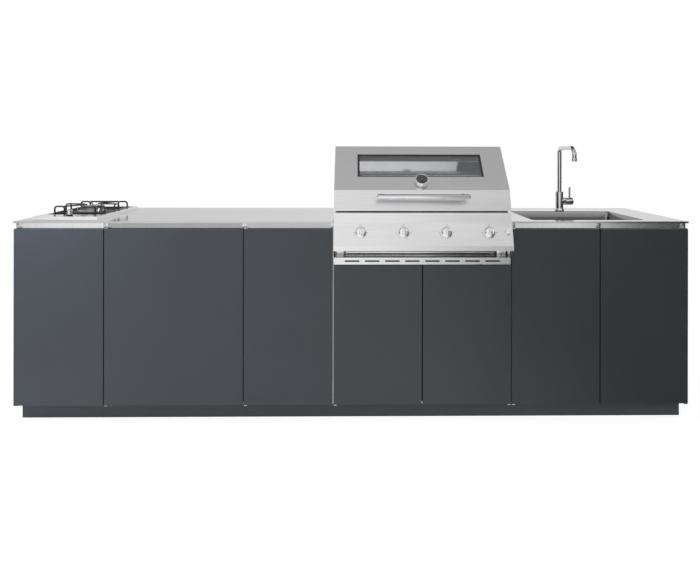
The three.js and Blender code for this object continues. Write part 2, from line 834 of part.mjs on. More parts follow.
const burnerPlugRadius = burnerCrownRadius - burnerCrownWall - runGap;
const burnerPlugDepth = 4;
const burnerCap = piece(
  "hob_burner_cap",
  turned([
    [0, -burnerPlugDepth],
    [burnerPlugRadius, -burnerPlugDepth],
    [burnerPlugRadius, 0],
    [burnerCapRadius, 0],
    [burnerCapRadius, burnerCapHeight - burnerCapLip],
    [burnerCapRadius - burnerCapLip, burnerCapHeight],
    [0, burnerCapHeight],
  ]),
  "enamel",
);
burnerCap.position.set(0, burnerY, burnerBase + crownTop + seatGap);
hobGroup.add(burnerCap);

// Pan support: wire loops on a square of base wires. A narrow loop at each corner has a finger
// that points at the burner, the two back loops meet in a hoop, and each side has a loop too.
const supportWire = 4;
const supportWidth = 245;
const supportDepth = 271;
const supportFront = 140;
const supportHeight = 36;
const supportBend = 12;
const supportLoop = 46;
const supportSideLoop = 50;
const supportFinger = 120;
const supportSideFinger = 80;
const supportFingerWire = 3.4;
const supportDishZ = hobRise - hobDishDepth + seatGap;
const supportWireZ = hobRise + supportHeight - supportWire;

// A wire that stands on the dish at both ends and passes over in between.
function supportHoop([x0, y0], [x1, y1]) {
  return bentRod(
    supportWire,
    [
      [x0, y0, supportDishZ],
      [x0, y0, supportWireZ],
      [x1, y1, supportWireZ],
      [x1, y1, supportDishZ],
    ],
    supportBend,
  );
}

function supportPointer([x, y], [aimX, aimY], length) {
  const share = length / Math.hypot(aimX - x, aimY - y);
  const end = [x + (aimX - x) * share, y + (aimY - y) * share, supportWireZ];
  return rod(supportFingerWire, [x, y, supportWireZ], end, wireSides);
}

function panSupport() {
  const half = supportWidth / 2 - supportWire;
  const inner = half - supportLoop;
  const [front, back] = [supportFront + supportWire, supportFront + supportDepth - supportWire];
  const middle = (front + back) / 2;
  const baseZ = supportDishZ + supportWire;
  const base = [
    ...[front, back].map((y) => rod(supportWire, [-half, y, baseZ], [half, y, baseZ], wireSides)),
    ...[-half, half].map((x) => rod(supportWire, [x, front, baseZ], [x, back, baseZ], wireSides)),
  ];
  const sides = [-1, 1].flatMap((side) => [
    supportHoop([side * half, front], [side * inner, front]),
    supportHoop([side * half, back], [side * inner, back]),
    supportHoop(
      [side * half, middle - supportSideLoop / 2],
      [side * half, middle + supportSideLoop / 2],
    ),
    supportPointer([side * inner, front], [0, middle], supportFinger),
    supportPointer([side * inner, back], [0, middle], supportFinger),
    supportPointer([side * half, middle], [0, middle], supportSideFinger),
  ]);
  const link = rod(
    supportWire,
    [-inner, back, supportWireZ],
    [inner, back, supportWireZ],
    wireSides,
  );
  return joined(base, sides, link);
}

hobGroup.add(piece("pan_support", panSupport(), "castIron"));

// Sink: a pressed bowl under a cut-out in the right bench, its waste and trap, and a mixer tap.
// Its own frame has x and y zero at the middle of the bowl and z zero at the bench top.

const bowlWidth = 518;
const bowlDepth = 382;
const bowlRadius = 16;
const bowlHeight = 180;
const bowlSheet = 1;
const bowlDraft = 14;
const bowlFlange = 12;
const bowlFrontY = 52;
const bowlShift = -31;
const wasteHoleRadius = 45;

const bowlY = bowlFrontY + bowlDepth / 2;
const sinkGroup = groupAt(sinkCabinet, bowlShift, bowlY, benchHeight);
const bowlTop = -benchSheet - seatGap;

function sinkBowl() {
  const flangeLow = bowlTop - bowlSheet;
  const outside = leveledBlock(bowlWidth, bowlDepth, bowlRadius, [
    [-bowlHeight, bowlDraft - bowlSheet],
    [flangeLow, -bowlSheet],
    [flangeLow, -bowlFlange],
    [bowlTop, -bowlFlange],
  ]);
  const inside = leveledBlock(bowlWidth, bowlDepth, bowlRadius, [
    [bowlSheet - bowlHeight, bowlDraft],
    [flangeLow, 0],
    [overrun, 0],
  ]);
  const [low, high] = [-bowlHeight - overrun, overrun - bowlHeight];
  return cutBy(outside, inside, rod(wasteHoleRadius, [0, 0, low], [0, 0, high], roundSides));
}

sinkGroup.add(piece("sink_bowl", sinkBowl(), "benchSteel"));

// Waste: a lipped cup through the bowl's floor, clamped by a ring nut, over a bottle trap whose
// outlet pipe leads to the back of the cabinet.
const wasteLipRadius = 54;
const wasteLip = 1.2;
const wasteCupWall = 2;
const wasteCupDepth = 42;
const wasteNutRadius = 56;
const wasteNutHeight = 6;
const tailRadius = 20;
const tailLength = 40;
const trapRadius = 32;
const trapHeight = 95;
const outletRadius = 17;
const outletDrop = 22;
const outletEndGap = 4;
const wasteFloor = bowlSheet - bowlHeight + seatGap;
const cupBottom = -bowlHeight - wasteCupDepth;
const cupInner = wasteHoleRadius - seatGap - wasteCupWall;

function wasteTrap() {
  const cup = turned([
    [0, cupBottom],
    [wasteHoleRadius - seatGap, cupBottom],
    [wasteHoleRadius - seatGap, wasteFloor],
    [wasteLipRadius, wasteFloor],
    [wasteLipRadius, wasteFloor + wasteLip],
    [cupInner, wasteFloor + wasteLip],
    [cupInner, cupBottom + wasteCupWall],
    [0, cupBottom + wasteCupWall],
  ]);
  const nutTop = -bowlHeight - seatGap;
  const nut = cutBy(
    rod(wasteNutRadius, [0, 0, nutTop - wasteNutHeight], [0, 0, nutTop]),
    rod(cupInner + wasteCupWall / 2, [0, 0, cupBottom], [0, 0, overrun], roundSides),
  );
  const trapTop = cupBottom - tailLength;
  const outletZ = trapTop - outletDrop;
  const outletEnd = carcassBack - carcassSheet - outletEndGap - bowlY;
  return joined(
    cup,
    nut,
    rod(tailRadius, [0, 0, trapTop - wasteCupWall], [0, 0, cupBottom + wasteCupWall / 2]),
    rod(trapRadius, [0, 0, trapTop - trapHeight], [0, 0, trapTop], roundSides),
    rod(outletRadius, [0, 0, outletZ], [0, outletEnd, outletZ]),
  );
}

sinkGroup.add(piece("waste_trap", wasteTrap(), "plastic"));

// Basket strainer: a small cup that stands in the waste and lifts out by its knob.
const basketWall = 1.2;
const basketHeight = 34;
const basketKnobRadius = 9;
const basketStemRadius = 3;
const basketKnobTop = 14;
const basketBottom = cupBottom + wasteCupWall + seatGap;
const basketRadius = cupInner - runGap;

const basket = turned([
  [0, 0],
  [basketRadius, 0],
  [basketRadius, basketHeight],
  [basketRadius - basketWall, basketHeight],
  [basketRadius - basketWall, basketWall],
  [basketStemRadius, basketWall],
  [basketStemRadius, basketHeight],
  [basketKnobRadius, basketHeight + basketKnobTop / 2],
  [basketKnobRadius / 2, basketHeight + basketKnobTop],
  [0, basketHeight + basketKnobTop],
]);
const strainer = piece("basket_strainer", basket, "benchSteel");
strainer.position.set(0, 0, basketBottom);
sinkGroup.add(strainer);

// Tap: body through the bench behind the bowl, a swivelling spout in its top, and a side
// cartridge whose cap turns for heat and whose pin tilts outwards for flow.
const tapBack = 38;
const tapShift = 16;
const tapShankRadius = 14;
const tapShankDrop = 60;
const tapNutRadius = 24;
const tapNutHeight = 5;
const tapBaseRadius = 24;
const tapBaseHeight = 5;
const tapFlareHeight = 18;
const tapBodyRadius = 20;
const tapBodyHeight = 102;
const tapChamfer = 1.5;
const spoutRadius = 11;
const spoutSocketDepth = 30;
const spoutHeight = 343;
const spoutReach = 206;
const spoutOutletZ = 265;
const spoutRearBend = 24;
const spoutFrontBend = 42;
const aeratorRadius = 12.5;
const aeratorHeight = 16;
const aeratorBoreRadius = 8;
const aeratorBoreDepth = 6;
const branchZ = 50;
const branchRadius = 19;
const branchEnd = 28;
const spigotRadius = 12;
const spigotEnd = 42;
const tapCapEnd = 70;
const leverX = 54;
const leverRadius = 5;
const leverTop = 125;
const leverTilt = THREE.MathUtils.degToRad(20);

const tapY = bowlDepth / 2 + tapBack;
const tapGroup = groupAt(sinkGroup, tapShift, tapY, 0);
const socketFloor = tapBodyHeight - spoutSocketDepth;
const socketRadius = spoutRadius + runGap;

function tapBody() {
  const body = turned([
    [0, -tapShankDrop],
    [tapShankRadius, -tapShankDrop],
    [tapShankRadius, seatGap],
    [tapBaseRadius, seatGap],
    [tapBaseRadius, tapBaseHeight],
    [tapBodyRadius, tapFlareHeight],
    [tapBodyRadius, tapBodyHeight - tapChamfer],
    [tapBodyRadius - tapChamfer, tapBodyHeight],
    [socketRadius, tapBodyHeight],
    [socketRadius, socketFloor],
    [0, socketFloor],
  ]);
  const nutTop = -benchSheet - seatGap;
  const nut = rod(tapNutRadius, [0, 0, nutTop - tapNutHeight], [0, 0, nutTop], roundSides);
  const branch = rod(branchRadius, [0, 0, branchZ], [branchEnd, 0, branchZ], roundSides);
  const spigot = rod(spigotRadius, [branchRadius, 0, branchZ], [spigotEnd, 0, branchZ], roundSides);
  return joined(body, nut, branch, spigot);
}

tapGroup.add(piece("tap_body", tapBody(), "chrome"));

const spoutTopZ = spoutHeight - spoutRadius;
const spoutPipe = bentRod(
  spoutRadius,
  [
    [0, 0, socketFloor + seatGap],
    [0, 0, spoutTopZ],
    [0, -spoutReach, spoutTopZ],
    [0, -spoutReach, spoutOutletZ + aeratorHeight / 2],
  ],
  [spoutRearBend, spoutFrontBend],
  roundSides / 2,
);
const aerator = cutBy(
  rod(
    aeratorRadius,
    [0, -spoutReach, spoutOutletZ],
    [0, -spoutReach, spoutOutletZ + aeratorHeight],
    roundSides,
  ),
  rod(
    aeratorBoreRadius,
    [0, -spoutReach, spoutOutletZ - overrun],
    [0, -spoutReach, spoutOutletZ + aeratorBoreDepth],
  ),
);
tapGroup.add(piece("tap_spout", joined(spoutPipe, aerator), "chrome"));

// The cap's slot leaves the pin its tilt at the cap's surface.
function tapCap() {
  const from = branchEnd + seatGap;
  const slotOut = leverX + leverRadius / Math.cos(leverTilt) + branchRadius * Math.tan(leverTilt);
  const round = leverRadius + runGap;
  const slotXs = [leverX - round, slotOut + runGap];
  const slot = slab(slotXs, about(0, round), [-round, branchRadius + overrun]);
  const cap = rod(branchRadius, [from, 0, 0], [tapCapEnd, 0, 0], roundSides);
  const bore = rod(spigotRadius + runGap, [0, 0, 0], [spigotEnd + runGap, 0, 0], roundSides);
  return cutBy(cap, bore, slot);
}

const tapCapPiece = piece("tap_cap", tapCap(), "chrome");
tapCapPiece.position.set(0, 0, branchZ);
tapGroup.add(tapCapPiece);

const leverBall = solidFrom(new THREE.SphereGeometry(leverRadius, rodSides, wireSides));
const lever = piece(
  "tap_lever",
  joined(leverBall, rod(leverRadius, [0, 0, 0], [0, 0, leverTop - branchZ])),
  "chrome",
);
lever.position.set(leverX, 0, branchZ);
tapGroup.add(lever);

// Benches: stainless sheets with their outer edges turned down, cut for the hob, bowl and tap.

const hobCutGap = 2;
const tapHoleGap = 1;

function bench(xs, leftEdge, rightEdge) {
  const zs = [benchHeight - benchEdge, benchHeight];
  const under = [
    leftEdge ? xs[0] + benchSheet : xs[0] - overrun,
    rightEdge ? xs[1] - benchSheet : xs[1] + overrun,
  ];
  const underZs = [zs[0] - overrun, benchHeight - benchSheet];
  const ys = [0, benchDepth];
  return cutBy(slab(xs, ys, zs), slab(under, drawnIn(ys, benchSheet), underZs));
}

const benchZs = [benchHeight - overrun, benchHeight + overrun];
const hobCut = slab(
  drawnIn(hobBoxXs, -hobCutGap).map((x) => x + hobModuleX + hobShift),
  drawnIn(hobBoxYs, -hobCutGap).map((y) => y + hobFrontY),
  benchZs,
);
const leftBenchXs = [-islandWidth / 2, grillEdgeLeft - jointHalf];
island.add(piece("bench_left", cutBy(bench(leftBenchXs, true, false), hobCut), "benchSteel"));

const bowlX = sinkModuleX + bowlShift;
const tapX = bowlX + tapShift;
const bowlPlan = new THREE.ExtrudeGeometry(roundedRect(bowlWidth, bowlDepth, bowlRadius), {
  depth: benchZs[1] - benchZs[0],
  bevelEnabled: false,
  curveSegments: bendSteps,
});
const bowlCut = solidFrom(bowlPlan.translate(bowlX, bowlY, benchZs[0]));
const tapHole = rod(
  tapShankRadius + tapHoleGap,
  [tapX, bowlY + tapY, benchZs[0]],
  [tapX, bowlY + tapY, benchZs[1]],
);
const rightBenchXs = [grillEdgeRight + jointHalf, islandWidth / 2];
island.add(
  piece("bench_right", cutBy(bench(rightBenchXs, false, true), bowlCut, tapHole), "benchSteel"),
);

// Grill: a firebox let into its cabinet behind a sloping control panel, under a hinged hood.
// Its own frame has x zero at its middle, y zero at the door fronts and z zero at the bench top.

const grillGroup = groupAt(grillCabinet, 0, 0, benchHeight);

const fireboxHalf = 388;
const fireboxTubHalf = 368;
const fireboxFront = 15;
const fireboxBack = 470;
const fireboxTop = 43;
const fireboxTubDrop = 133;
const fireboxDrainWidth = 420;
const fireboxDrainDepth = 180;
const grateLedge = 14;
const grateLedgeZ = 12;
const hingeY = 480;
const hingeZ = 60;
const hingeEarRadius = 11;
const hingePinRadius = 5;
const burnerTubeRadius = 12.5;
const burnerTubeZ = -48;
const burnerPitch = 190;
const burnerCount = 4;
const knobGroupShift = 8;
const runnerInset = 16;
const runnerFoot = 14;
const runnerDrop = 28;
const trayFrontGap = 9;
const trayBackGap = 33;
const burnerRest = 28;
const hingePinPast = 3;
const rackTab = 16;
const rackTabZ = 34;
const rackTabY = 330;
const rackTabPitch = 90;

const burnerXs = Array.from(
  { length: burnerCount },
  (_, i) => knobGroupShift + (i - (burnerCount - 1) / 2) * burnerPitch,
);
const runnerHalf = fireboxTubHalf - runnerInset;
const trayFront = ventFlange + trayFrontGap;
const trayBack = fireboxBack - trayBackGap;
const flangeZ = -benchSheet;
const tubLow = -fireboxTubDrop;

// Bench strip: closes the bench behind the firebox.
const rearStripFront = hingeY + hingeEarRadius + fireboxSheet;
const rearStripXs = about(0, grillModule / 2 - jointHalf);
grillGroup.add(
  piece(
    "bench_rear_strip",
    cutBy(
      slab(rearStripXs, [rearStripFront, benchDepth], [-benchEdge, 0]),
      slab(
        drawnIn(rearStripXs, -overrun),
        [rearStripFront - overrun, benchDepth - benchSheet],
        [-benchEdge - overrun, -benchSheet],
      ),
    ),
    "benchSteel",
  ),
);

function tee(half, tubHalf, top, shoulder, low) {
  return [
    [-tubHalf, low],
    [tubHalf, low],
    [tubHalf, shoulder],
    [half, shoulder],
    [half, top],
    [-half, top],
    [-half, shoulder],
    [-tubHalf, shoulder],
  ];
}

// An ear plate welded inside a side wall, round at the hinge pin.
function hingeEar(side) {
  const [front, back] = [fireboxBack - hingeEarRadius, hingeY + hingeEarRadius];
  const shape = new THREE.Shape();
  shape.moveTo(front, flangeZ + fireboxSheet / 2);
  shape.lineTo(back, flangeZ + fireboxSheet / 2);
  shape.lineTo(back, hingeZ);
  shape.absarc(hingeY, hingeZ, hingeEarRadius, 0, Math.PI);
  shape.lineTo(front, hingeZ - hingeEarRadius);
  const hole = new THREE.Path();
  hole.absarc(hingeY, hingeZ, hingePinRadius + runGap, 0, 2 * Math.PI);
  shape.holes.push(hole);
  return prism(shape, about(side * (fireboxHalf - fireboxSheet), fireboxSheet / 2));
}

function trayRunner(side) {
  const lowZ = tubLow - runnerDrop;
  const edge = side * runnerHalf;
  const outline = [
    [edge, lowZ],
    [edge, tubLow + fireboxSheet / 2],
    [edge - side * fireboxSheet, tubLow + fireboxSheet / 2],
    [edge - side * fireboxSheet, lowZ + fireboxSheet],
    [edge - side * runnerFoot, lowZ + fireboxSheet],
    [edge - side * runnerFoot, lowZ],
  ];
  return channel(outline, [trayFront, trayBack]);
}

function firebox() {
  const ys = [fireboxFront, fireboxBack];
  const within = fireboxSheet / 2;
  const shell = cutBy(
    channel(tee(fireboxHalf, fireboxTubHalf, fireboxTop, flangeZ, tubLow), ys),
    channel(
      tee(
        fireboxHalf - fireboxSheet,
        fireboxTubHalf - fireboxSheet,
        fireboxTop + overrun,
        flangeZ + fireboxSheet,
        tubLow + fireboxSheet,
      ),
      drawnIn(ys, fireboxSheet),
    ),
  );
  const drain = slab(
    about(0, fireboxDrainWidth / 2),
    about((fireboxFront + fireboxBack) / 2, fireboxDrainDepth / 2),
    about(tubLow, overrun),
  );
  const ledgeXs = about(0, fireboxHalf - within);
  const ledgeZs = [grateLedgeZ - fireboxSheet, grateLedgeZ];
  const ledges = [
    [fireboxFront + within, fireboxFront + grateLedge],
    [fireboxBack - grateLedge, fireboxBack - within],
  ].map((ledgeYs) => slab(ledgeXs, ledgeYs, ledgeZs));
  const rackTabs = [-1, 1].flatMap((side) => {
    const xs = ordered(side * (fireboxHalf - rackTab), side * (fireboxHalf - within));
    const tabZs = [rackTabZ - fireboxSheet, rackTabZ];
    return [rackTabY - rackTabPitch, rackTabY].map((y) => slab(xs, about(y, rackTab / 2), tabZs));
  });
  const restTop = burnerTubeZ - burnerTubeRadius - seatGap;
  const restYs = [fireboxBack - burnerRest, fireboxBack - within];
  const rests = burnerXs.map((x) =>
    slab(about(x, burnerTubeRadius), restYs, [restTop - fireboxSheet, restTop]),
  );
  const burnerHoles = burnerXs.map((x) =>
    rod(
      burnerTubeRadius + runGap,
      [x, fireboxFront - overrun, burnerTubeZ],
      [x, fireboxFront + overrun, burnerTubeZ],
    ),
  );
  const ends = [-1, 1].map((side) => [hingeEar(side), trayRunner(side)]);
  return joined(cutBy(shell, drain, burnerHoles), ledges, rackTabs, rests, ends);
}

grillGroup.add(piece("firebox", firebox(), "steel"));

// Drip tray: an enamelled tray that slides out forwards between the panel and the vent strip.
const trayGap = 2;
const traySheet = 1.2;
const trayHeight = 22;
const trayFloorZ = -fireboxTubDrop - runnerDrop + fireboxSheet + seatGap;

function dripTray() {
  const xs = about(0, runnerHalf - fireboxSheet - trayGap);
  const ys = [trayFront, trayBack];
  const zs = [trayFloorZ, trayFloorZ + trayHeight];
  const hollowZs = [zs[0] + traySheet, zs[1] + overrun];
  return cutBy(slab(xs, ys, zs), slab(drawnIn(xs, traySheet), drawnIn(ys, traySheet), hollowZs));
}

grillGroup.add(piece("drip_tray", dripTray(), "enamel"));

// Hotplate and cooking grate: castings that lie side by side on the firebox ledges, and are narrow
// enough to lift out between the tabs of the warming rack.
const hotplateWidth = 330;
const hotplateThickness = 6;
const hotplateRim = 5;
const hotplateRimHeight = 16;
const castingGap = 2;
const castingSideGap = 6;
const grateBarWidth = 8;
const grateBarHeight = 12;
const grateBarPitch = 22;
const grateCrossBars = 2;
const castingYs = drawnIn([fireboxFront, fireboxBack], fireboxSheet + castingGap);
const castingZ = grateLedgeZ + seatGap;
const castingHalf = fireboxHalf - rackTab - castingSideGap;
const castingSplit = hotplateWidth - castingHalf;

function hotplate() {
  const xs = [-castingHalf, castingSplit];
  const zs = [castingZ, castingZ + hotplateRimHeight];
  const dish = slab(
    drawnIn(xs, hotplateRim),
    drawnIn(castingYs, hotplateRim),
    [castingZ + hotplateThickness, zs[1] + overrun],
  );
  return cutBy(slab(xs, castingYs, zs), dish);
}

grillGroup.add(piece("hotplate", hotplate(), "castIron"));

function cookingGrate() {
  const xs = [castingSplit + castingGap, castingHalf];
  const [y0, y1] = castingYs;
  const across = xs[1] - xs[0] - grateBarWidth;
  const along = y1 - y0 - grateBarWidth;
  const columns = Math.round(across / grateBarPitch);
  const rows = grateCrossBars + 1;
  const slots = [];
  for (let column = 0; column < columns; column += 1) {
    for (let row = 0; row < rows; row += 1) {
      const x = xs[0] + grateBarWidth + (across * column) / columns;
      const y = y0 + grateBarWidth + (along * row) / rows;
      const slotXs = [x, x + across / columns - grateBarWidth];
      const slotYs = [y, y + along / rows - grateBarWidth];
      slots.push(slab(slotXs, slotYs, [castingZ - overrun, castingZ + grateBarHeight + overrun]));
    }
  }
  return cutBy(slab(xs, castingYs, [castingZ, castingZ + grateBarHeight]), slots);
}

grillGroup.add(piece("cooking_grate", cookingGrate(), "castIron"));

// Control panel: a folded sheet box that leans back from its lower lip, with a bezel round each
// valve stem and a collar round the ignition button.
const panelFrontY = -51;
const panelTopY = -6;
const panelLowZ = -124;
const panelLipHeight = 22;
const panelTopZ = 39;
const panelFloorDepth = 46;
const panelKnobRise = 60;
const panelRim = 3;
const bezelRadius = 26;
const bezelHeight = 2.5;
const stemRadius = 4;
const stemHole = 6.5;
const buttonX = 374;
const buttonCollarRadius = 13;
const buttonCollarHeight = 4;
const buttonStemRadius = 4;

const panelFoldZ = panelLowZ + panelLipHeight;
const panelLean = Math.atan2(panelTopY - panelFrontY, panelTopZ - panelFoldZ);
const panelBackY = fireboxFront - seatGap;

// Frame of the sloping face: x along the island, z up the face, -y out of it.
const faceGroup = groupAt(grillGroup, 0, panelFrontY, panelFoldZ);
faceGroup.rotation.x = -panelLean;
faceGroup.updateMatrix();

function onFace(shape) {
  return solidFrom(shape.clone().applyMatrix4(faceGroup.matrix));
}

function controlPanel() {
  const outline = [
    [panelFrontY, panelLowZ],
    [panelBackY, panelLowZ],
    [panelBackY, panelTopZ],
    [panelTopY, panelTopZ],
    [panelFrontY, panelFoldZ],
  ];
  const backOpen = [
    [panelFrontY, panelLowZ],
    [panelBackY + overrun, panelLowZ],
    [panelBackY + overrun, panelTopZ],
    [panelTopY, panelTopZ],
    [panelFrontY, panelFoldZ],
  ];
  const half = grillWidth / 2;
  const within = fireboxSheet / 2;
  const box = cutBy(
    prism(outline, about(0, half)),
    prism(insideOutline(backOpen, fireboxSheet), about(0, half - fireboxSheet)),
    slab(
      about(0, half - panelRim),
      [panelFrontY + panelFloorDepth, panelBackY + overrun],
      [panelLowZ - overrun, panelFoldZ],
    ),
  );
  const bosses = burnerXs.map((x) => {
    const [from, to] = [within, -bezelHeight].map((y) => [x, y, panelKnobRise]);
    return onFace(rodShape(bezelRadius, from, to, roundSides));
  });
  const collar = onFace(
    rodShape(
      buttonCollarRadius,
      [buttonX, within, panelKnobRise],
      [buttonX, -buttonCollarHeight, panelKnobRise],
      rodSides,
    ),
  );
  const stemHoles = burnerXs.map((x) =>
    onFace(rodShape(stemHole, [x, overrun, panelKnobRise], [x, -overrun, panelKnobRise])),
  );
  const buttonHole = onFace(
    rodShape(
      buttonStemRadius + runGap,
      [buttonX, overrun, panelKnobRise],
      [buttonX, -overrun, panelKnobRise],
    ),
  );
  return cutBy(joined(box, bosses, collar), stemHoles, buttonHole);
}

grillGroup.add(piece("control_panel", controlPanel(), "hoodSteel"));

// Gas manifold: a pipe across the inside of the panel with a valve, a stem for the knob and a
// nozzle for the burner at each burner.
const manifoldRadius = 8;
const manifoldIn = 24;
const manifoldEnd = 60;
const valveRadius = 12;
const valveHalf = 11;
const nozzleRadius = 4;
const nozzleReach = 8;
const stemOut = 20;
const tubeMouthGap = 6;

const knobPlace = (x, out) =>
  new THREE.Vector3(x, -out, panelKnobRise).applyMatrix4(faceGroup.matrix);
const burnerMouthY = fireboxFront - tubeMouthGap;

function gasManifold() {
  const pipePlace = knobPlace(0, -manifoldIn);
  const ends = burnerXs.length - 1;
  const pipe = rod(
    manifoldRadius,
    [burnerXs[0] - manifoldEnd, pipePlace.y, pipePlace.z],
    [burnerXs[ends] + manifoldEnd, pipePlace.y, pipePlace.z],
    wireSides,
  );
  const valves = burnerXs.flatMap((x) => {
    const deep = [x, manifoldIn + valveHalf / 2, panelKnobRise];
    const shallow = [x, manifoldIn - valveHalf, panelKnobRise];
    return [
      onFace(rodShape(valveRadius, deep, shallow)),
      onFace(rodShape(stemRadius, [x, manifoldIn, panelKnobRise], [x, -stemOut, panelKnobRise])),
      rod(
        nozzleRadius,
        [x, pipePlace.y, pipePlace.z],
        [x, burnerMouthY + nozzleReach, burnerTubeZ],
      ),
    ];
  });
  return joined(pipe, valves);
}

grillGroup.add(piece("gas_manifold", gasManifold(), "brass"));

// Tube burners: each stands through the firebox front with its mouth over a valve nozzle, and
// lies on a rest at the back.
const burnerMouthRadius = 9;
const burnerMouthDepth = 30;
const burnerEndGap = 12;

burnerXs.forEach((x, i) => {
  const back = fireboxBack - fireboxSheet - burnerEndGap;
  const tube = cutBy(
    rod(burnerTubeRadius, [0, burnerMouthY, 0], [0, back, 0]),
    rod(
      burnerMouthRadius,
      [0, burnerMouthY - overrun, 0],
      [0, burnerMouthY + burnerMouthDepth, 0],
      wireSides,
    ),
  );
  const burner = piece(`tube_burner_${i + 1}`, tube, "steel");
  burner.position.set(x, 0, burnerTubeZ);
  grillGroup.add(burner);
});

// Burner knobs: a turned skirt with a raised grip bar, bored for the valve stem. Each is built
// about its own axis, with +z out of the panel.
const knobSkirtRadius = 23;
const knobSkirtHeight = 7;
const knobNeckRadius = 19;
const knobHeight = 15;
const gripHalfLength = 19;
const gripHalfWidth = 6.5;
const knobGripHeight = 26;
const knobLift = 0.8;
const knobBoreEnd = 14;

function knobSolid() {
  const skirt = turned([
    [0, 0],
    [knobSkirtRadius, 0],
    [knobSkirtRadius, knobSkirtHeight],
    [knobNeckRadius, knobHeight],
    [0, knobHeight],
  ]);
  const grip = new THREE.ExtrudeGeometry(
    roundedRect(2 * gripHalfWidth, 2 * gripHalfLength, gripHalfWidth),
    { depth: knobGripHeight - knobSkirtHeight, bevelEnabled: false, curveSegments: bendSteps },
  ).translate(0, 0, knobSkirtHeight);
  const bore = rod(stemRadius + runGap, [0, 0, -overrun], [0, 0, knobBoreEnd + knobSkirtHeight]);
  return cutBy(joined(skirt, solidFrom(grip)), bore);
}

burnerXs.forEach((x, i) => {
  const knob = piece(`burner_knob_${i + 1}`, knobSolid(), "chrome");
  knob.position.set(x, -bezelHeight - knobLift, panelKnobRise);
  knob.rotation.x = Math.PI / 2;
  faceGroup.add(knob);
});

// Ignition button: a round cap on a stem that slides in the panel's collar.
const buttonRadius = 10.5;
const buttonTravel = 5;
const buttonCap = 7;
const buttonStemLength = 20;
const buttonEdge = 1.5;

const button = piece(
  "ignition_button",
  turned([
    [0, -buttonStemLength],
    [buttonStemRadius, -buttonStemLength],
    [buttonStemRadius, 0],
    [buttonRadius, 0],
    [buttonRadius, buttonCap - buttonEdge],
    [buttonRadius - buttonEdge, buttonCap],
    [0, buttonCap],
  ]),
  "plastic",
);
button.position.set(buttonX, -buttonCollarHeight - buttonTravel - seatGap, panelKnobRise);
button.rotation.x = Math.PI / 2;
faceGroup.add(button);

// Hood: a folded shell, open below, that swings up about two pins in the firebox ears.
const hoodFrontY = -11;
const hoodLowZ = 48;
const hoodCreaseY = 17;
const hoodCreaseZ = 139;
const hoodTopY = 190;
const hoodTopZ = 337;
const hoodCrownDepth = 150;
const hoodBackY = 505;
const hoodShoulderZ = 155;
const hoodBackLowZ = 75;
const windowWidth = 582;
const windowLowShare = 0.29;
const windowHighShare = 0.807;
const windowLap = 9;
const glassThickness = 4;
const gaugeShare = 0.165;
const gaugeStemRadius = 5;

const hoodSlope = Math.hypot(hoodTopY - hoodCreaseY, hoodTopZ - hoodCreaseZ);
const hoodLean = Math.atan2(hoodTopY - hoodCreaseY, hoodTopZ - hoodCreaseZ);
const slopeGroup = groupAt(grillGroup, 0, hoodCreaseY, hoodCreaseZ);
slopeGroup.rotation.x = -hoodLean;
slopeGroup.updateMatrix();

function onSlope(shape) {
  return solidFrom(shape.clone().applyMatrix4(slopeGroup.matrix));
}

function hoodShell() {
  const half = grillWidth / 2;
  const upper = [
    [hoodBackY, hoodShoulderZ],
    [hoodTopY + hoodCrownDepth, hoodTopZ],
    [hoodTopY, hoodTopZ],
    [hoodCreaseY, hoodCreaseZ],
  ];
  const outline = [[hoodFrontY, hoodLowZ], [hoodBackY, hoodLowZ], ...upper];
  const frontLean = (hoodCreaseY - hoodFrontY) / (hoodCreaseZ - hoodLowZ);
  const opened = [
    [hoodFrontY - overrun * frontLean, hoodLowZ - overrun],
    [hoodBackY, hoodLowZ - overrun],
    ...upper,
  ];
  const backCut = slab(
    about(0, half + overrun),
    [hoodBackY - hoodSheet - overrun, hoodBackY + overrun],
    [hoodLowZ - overrun, hoodBackLowZ],
  );
  const window = onSlope(
    slabShape(
      about(0, windowWidth / 2),
      [-overrun, overrun],
      [windowLowShare * hoodSlope, windowHighShare * hoodSlope],
    ),
  );
  const gaugeRise = gaugeShare * hoodSlope;
  const gaugeHole = onSlope(
    rodShape(gaugeStemRadius + seatGap, [0, -overrun, gaugeRise], [0, overrun, gaugeRise]),
  );
  const pins = [-1, 1].map((side) =>
    rod(
      hingePinRadius,
      [side * (half - hoodSheet / 2), hingeY, hingeZ],
      [side * (fireboxHalf - hingePinPast), hingeY, hingeZ],
      roundSides,
    ),
  );
  const shell = cutBy(
    prism(outline, about(0, half)),
    prism(insideOutline(opened, hoodSheet), about(0, half - hoodSheet)),
    backCut,
    window,
    gaugeHole,
  );
  return joined(shell, pins);
}

grillGroup.add(piece("hood", hoodShell(), "hoodSteel"));

// Window glass: clamped behind the opening, on the inside of the slope.
const glassY = hoodSheet + seatGap;
slopeGroup.add(
  piece(
    "hood_window",
    slab(
      about(0, windowWidth / 2 + windowLap),
      [glassY, glassY + glassThickness],
      drawnIn([windowLowShare * hoodSlope, windowHighShare * hoodSlope], -windowLap),
    ),
    "glass",
  ),
);

// Thermometer: a chromed cup with a dial, held by a probe through the hood.
const gaugeRadius = 31;
const gaugeHeight = 28;
const gaugeFootRadius = 26;
const gaugeFootHeight = 4;
const gaugeDialRadius = 25;
const gaugeDialDepth = 3;
const gaugeRimStep = 2;
const gaugeProbe = 60;
const gaugeNutRadius = 9;
const gaugeNutHeight = 4;

